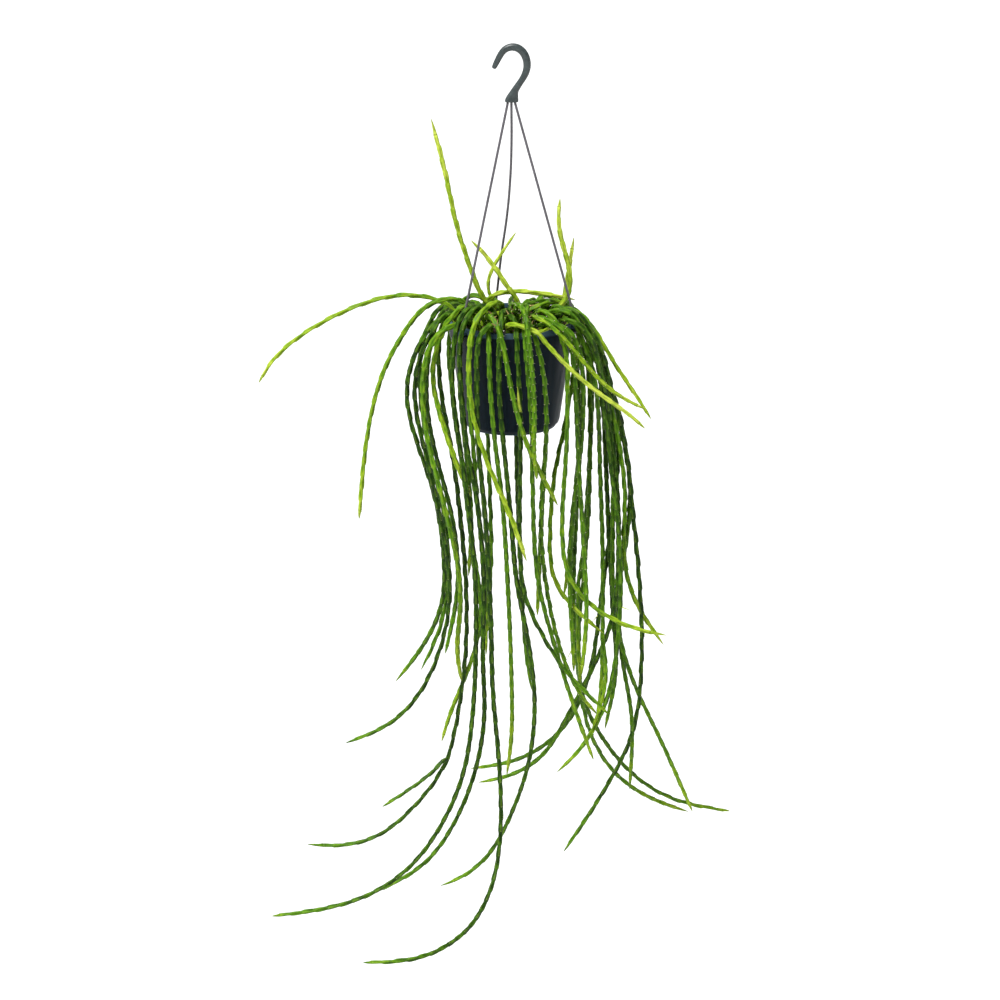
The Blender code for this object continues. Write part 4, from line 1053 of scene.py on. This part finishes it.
# %% [markdown]
# ## The hook
# The hook is one moulding: an oval bar that bends over into an open hook, thickens down the shank
# and spreads into a foot with three sockets for the rods. It could be carved from a block. It is
# extruded here: an oval at the hook's tip is extruded from station to station along the bar, each
# ring set to that station's size and tilt, and a Subdivision modifier rounds the whole.

# %% Stations of the hook
# stations down the bar: across X, level, half width in the hook's plane, half depth
HOOK_STATIONS = [
    (-20.6, -21.2, 2.2, 1.8), (-19.4, -18.6, 3.0, 2.8), (-15.4, -10.4, 3.4, 3.0),
    (-11.9, -3.7, 3.6, 3.2), (-7.2, 1.9, 3.9, 3.4), (0.6, 4.4, 4.4, 3.6), (8.0, 2.8, 4.5, 3.6),
    (13.9, -2.4, 4.5, 3.6), (17.4, -9.4, 4.4, 3.6), (18.5, -18.0, 4.3, 3.6),
    (16.8, -26.2, 4.0, 3.6), (13.2, -32.8, 3.6, 3.6), (9.2, -38.8, 3.5, 3.7),
    (5.4, -44.4, 3.9, 3.8), (2.7, -49.0, 5.0, 4.0), (1.2, -53.0, 6.3, 4.2),
    (0.4, -56.6, 7.3, 4.5), (0.2, -59.2, 7.6, 4.6), (0.2, -60.2, 7.3, 4.2)]
HOOK_SIDES, HOOK_FULLER = 16, 1.08       # smoothing shrinks the bar, so it starts a little fuller
LEVEL_RINGS = 5                          # the foot's rings lie level
CAP_INSET = 0.8 * MM
SOCKET_TOP, SOCKET_ROOM = -55.2, 0.2     # level, and how much wider than the rod


def ring_places(index):
    """The oval of a station, square to the bar there."""
    x, z, wide, deep = HOOK_STATIONS[index]
    wide, deep = wide * HOOK_FULLER, deep * HOOK_FULLER
    before = HOOK_STATIONS[max(0, index - 1)]
    after = HOOK_STATIONS[min(len(HOOK_STATIONS) - 1, index + 1)]
    ahead = Vector((after[0] - before[0], 0, after[1] - before[1])).normalized()
    across = Vector((ahead.z, 0, -ahead.x))
    if index >= len(HOOK_STATIONS) - LEVEL_RINGS:
        across = Vector((-1, 0, 0))
    turns = [2 * math.pi * k / HOOK_SIDES for k in range(HOOK_SIDES)]
    return [(Vector((x, 0, z)) + across * wide * math.cos(t)
             + Vector((0, deep * math.sin(t), 0))) * MM for t in turns]


print("hook: stations", len(HOOK_STATIONS))


# %% Extruding the hook
def edit_faces(piece, chosen):
    """Opens a piece in edit mode with only the chosen faces selected."""
    alone(piece)
    bpy.ops.object.mode_set(mode="EDIT")
    bpy.ops.mesh.select_mode(type="FACE")
    bpy.ops.mesh.select_all(action="DESELECT")
    bpy.ops.object.mode_set(mode="OBJECT")
    for face in piece.data.polygons:
        face.select = chosen(face)
    bpy.ops.object.mode_set(mode="EDIT")


form = bmesh.new()
ring = [form.verts.new(place) for place in ring_places(0)]
form.faces.new(ring)
for index in range(1, len(HOOK_STATIONS)):
    after = [form.verts.new(place) for place in ring_places(index)]
    for k in range(HOOK_SIDES):
        form.faces.new((ring[k], ring[(k + 1) % HOOK_SIDES], after[(k + 1) % HOOK_SIDES], after[k]))
    ring = after
form.faces.new(reversed(ring))
bmesh.ops.recalc_face_normals(form, faces=form.faces)
hook_mesh = bpy.data.meshes.new("moulded_hook")
form.to_mesh(hook_mesh)
form.free()
hook = placed("moulded_hook", hook_mesh)
edit_faces(hook, lambda face: len(face.vertices) > 4)       # the two end caps
bpy.ops.mesh.inset(thickness=CAP_INSET)
bpy.ops.object.mode_set(mode="OBJECT")
modified(hook, "SUBSURF", levels=2, render_levels=2)
for head in ROD_HEADS:
    socket = peg((head, 0.0), ROD_RADIUS + SOCKET_ROOM, HEAD_BASE, SOCKET_TOP, 20)
    carved(hook, socket, "DIFFERENCE")
alone(hook)
bpy.ops.object.shade_smooth_by_angle(angle=BAR_SMOOTH)
hook.data.materials.append(hook_finish)
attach(hook, "root")
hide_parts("hook")
print("hook:", len(hook.data.polygons), "faces")

# %% [markdown]
# ## The potting mix
# A rhipsalis grows in a loose mix of peat, bark and a little perlite. The plain soil is a flat
# disc with holes for the roots. Here it becomes a body whose top is uneven. The top could be
# sculpted. It is inset ring by ring here, and a few waves of different widths raise its points.
# Lengths in this cell are in millimetres.

# %% The soil's body
SOIL_TOP, SOIL_BASE = -328.7, -441.4
SOIL_OUT, SOIL_BASE_OUT, SOIL_EDGE_OUT = 71.2, 55.4, 70.5       # the edge stays level
SOIL_RINGS, SOIL_RING_WIDE = 16, 4.1
WAVES, WAVE_TALL, SOIL_RAISED = 9, 0.45, 0.8
WAVE_SPANS = ((150, 900), (0, 6)) * 2    # how fast a wave runs and how far it is shifted, twice
NEAR_LEVEL = 1e-4                        # but this one is in metres
soil_finish = speckled("peat_and_bark", 2.5 * MM, 5.0, [
    (0.3, "#120d09"), (0.5, "#2b1d13"), (0.62, "#4a3523"), (0.75, "#6d543a")],
    rough=0.95, relief=0.8 * MM)

soil = peg((0, 0), SOIL_OUT, SOIL_BASE, SOIL_TOP, 72)
soil.name = "potting_mix"
edit_faces(soil, lambda face: face.normal.z > 0.9)
for _ in range(SOIL_RINGS):
    bpy.ops.mesh.inset(thickness=SOIL_RING_WIDE * MM)
bpy.ops.mesh.poke()
bpy.ops.object.mode_set(mode="OBJECT")
chance = random.Random(23)
points = read_points(soil)
radial = np.hypot(points[:, 0], points[:, 1]) / MM
base_shrink = np.where(points[:, 2] < SOIL_BASE * MM + NEAR_LEVEL, SOIL_BASE_OUT / SOIL_OUT, 1.0)
points[:, :2] *= base_shrink[:, None]
top = points[:, 2] > SOIL_TOP * MM - NEAR_LEVEL
draws = [[chance.uniform(*span) for span in WAVE_SPANS] for _ in range(WAVES)]
waves = sum(np.sin(points[:, 0] * a + b) * np.cos(points[:, 1] * c + d) for a, b, c, d in draws)
points[:, 2] += np.where(top & (radial < SOIL_EDGE_OUT), (waves * WAVE_TALL + SOIL_RAISED) * MM, 0)
write_points(soil, points)
soil.data.shade_smooth()
soil.data.materials.append(soil_finish)
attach(soil, "root")
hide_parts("soil")
print("soil:", len(soil.data.polygons), "faces")

# %% [markdown]
# ## Crumbs on the mix
# Chips of bark, bits of peat and grains of perlite lie loose on top. A particle system could
# scatter them. Real copies stay where they are put and export as they are. Each kind is one rough
# lump, made once, and a seeded draw copies, turns and scales it, clear of the roots.

# %% Crumbs
CRUMBS, CRUMB_REACH, ROOT_CLEAR = 360, 67.0 * MM, 5.0 * MM
bark = speckled("bark_chip", 1.4 * MM, 4.0,
                [(0.3, "#2c1a10"), (0.5, "#5a3c25"), (0.7, "#8a6a47")], rough=0.9)
perlite = speckled("perlite_grain", 0.8 * MM, 3.0, [(0.3, "#b9b2a2"), (0.7, "#ece8dd")], rough=0.95)
KINDS = [("chip", (2.6, 1.7, 0.8), 0.3, bark), ("chip", (1.9, 1.3, 0.9), 0.35, bark),
         ("peat", (1.5, 1.4, 1.1), 0.3, soil_finish), ("grain", (1.2, 1.1, 1.0), 0.2, perlite)]
SHARES = (4, 4, 5, 2)                    # of each kind in the mix
CRUMB_LIFT, CRUMB_SIZE = (0.6, 2.2), (0.6, 1.25)        # millimetres above the top, and scale
CRUMB_TURNS = ((-0.5, 0.5), (-0.5, 0.5), (0, 6.28))     # in radians, about X, Y and Z


def crumb_form(name, size, jag, finish, seed):
    """A rough lump of a size in millimetres. jag says how uneven it is."""
    bpy.ops.object.select_all(action="DESELECT")
    bpy.ops.mesh.primitive_ico_sphere_add(subdivisions=1, radius=1.0)
    lump = bpy.context.object
    lump.name = name
    draw = random.Random(seed)
    points = read_points(lump)
    factors = np.array([[draw.uniform(1 - jag, 1 + jag)] for _ in range(len(points))])
    write_points(lump, points * (factors * np.array(size) * MM))
    lump.data.materials.append(finish)
    return lump


roots = [np.array(lines[0][0][2][:2]) for lines in stem_lines.values()]
kinds = [crumb_form(*kind, seed) for seed, kind in enumerate(KINDS, 1)]
chance = random.Random(31)
crumbs = []
while len(crumbs) < CRUMBS:
    out, turn = CRUMB_REACH * math.sqrt(chance.random()), chance.uniform(0, 2 * math.pi)
    spot = np.array(polar(out, turn))
    if min(np.linalg.norm(spot - root) for root in roots) < ROOT_CLEAR:
        continue
    crumb = copied(chance.choices(kinds, SHARES)[0], "crumb")
    crumb.location = (*spot, (SOIL_TOP + chance.uniform(*CRUMB_LIFT)) * MM)
    crumb.rotation_euler = [chance.uniform(*span) for span in CRUMB_TURNS]
    crumb.scale = [chance.uniform(*CRUMB_SIZE)] * 3
    crumbs.append(crumb)
litter = joined(crumbs)
litter.name = "loose_crumbs"
bpy.ops.object.transform_apply(location=True, rotation=True, scale=True)
for kind in kinds:
    bpy.data.objects.remove(kind)
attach(litter, "root")
print("crumbs:", len(litter.data.polygons), "faces")
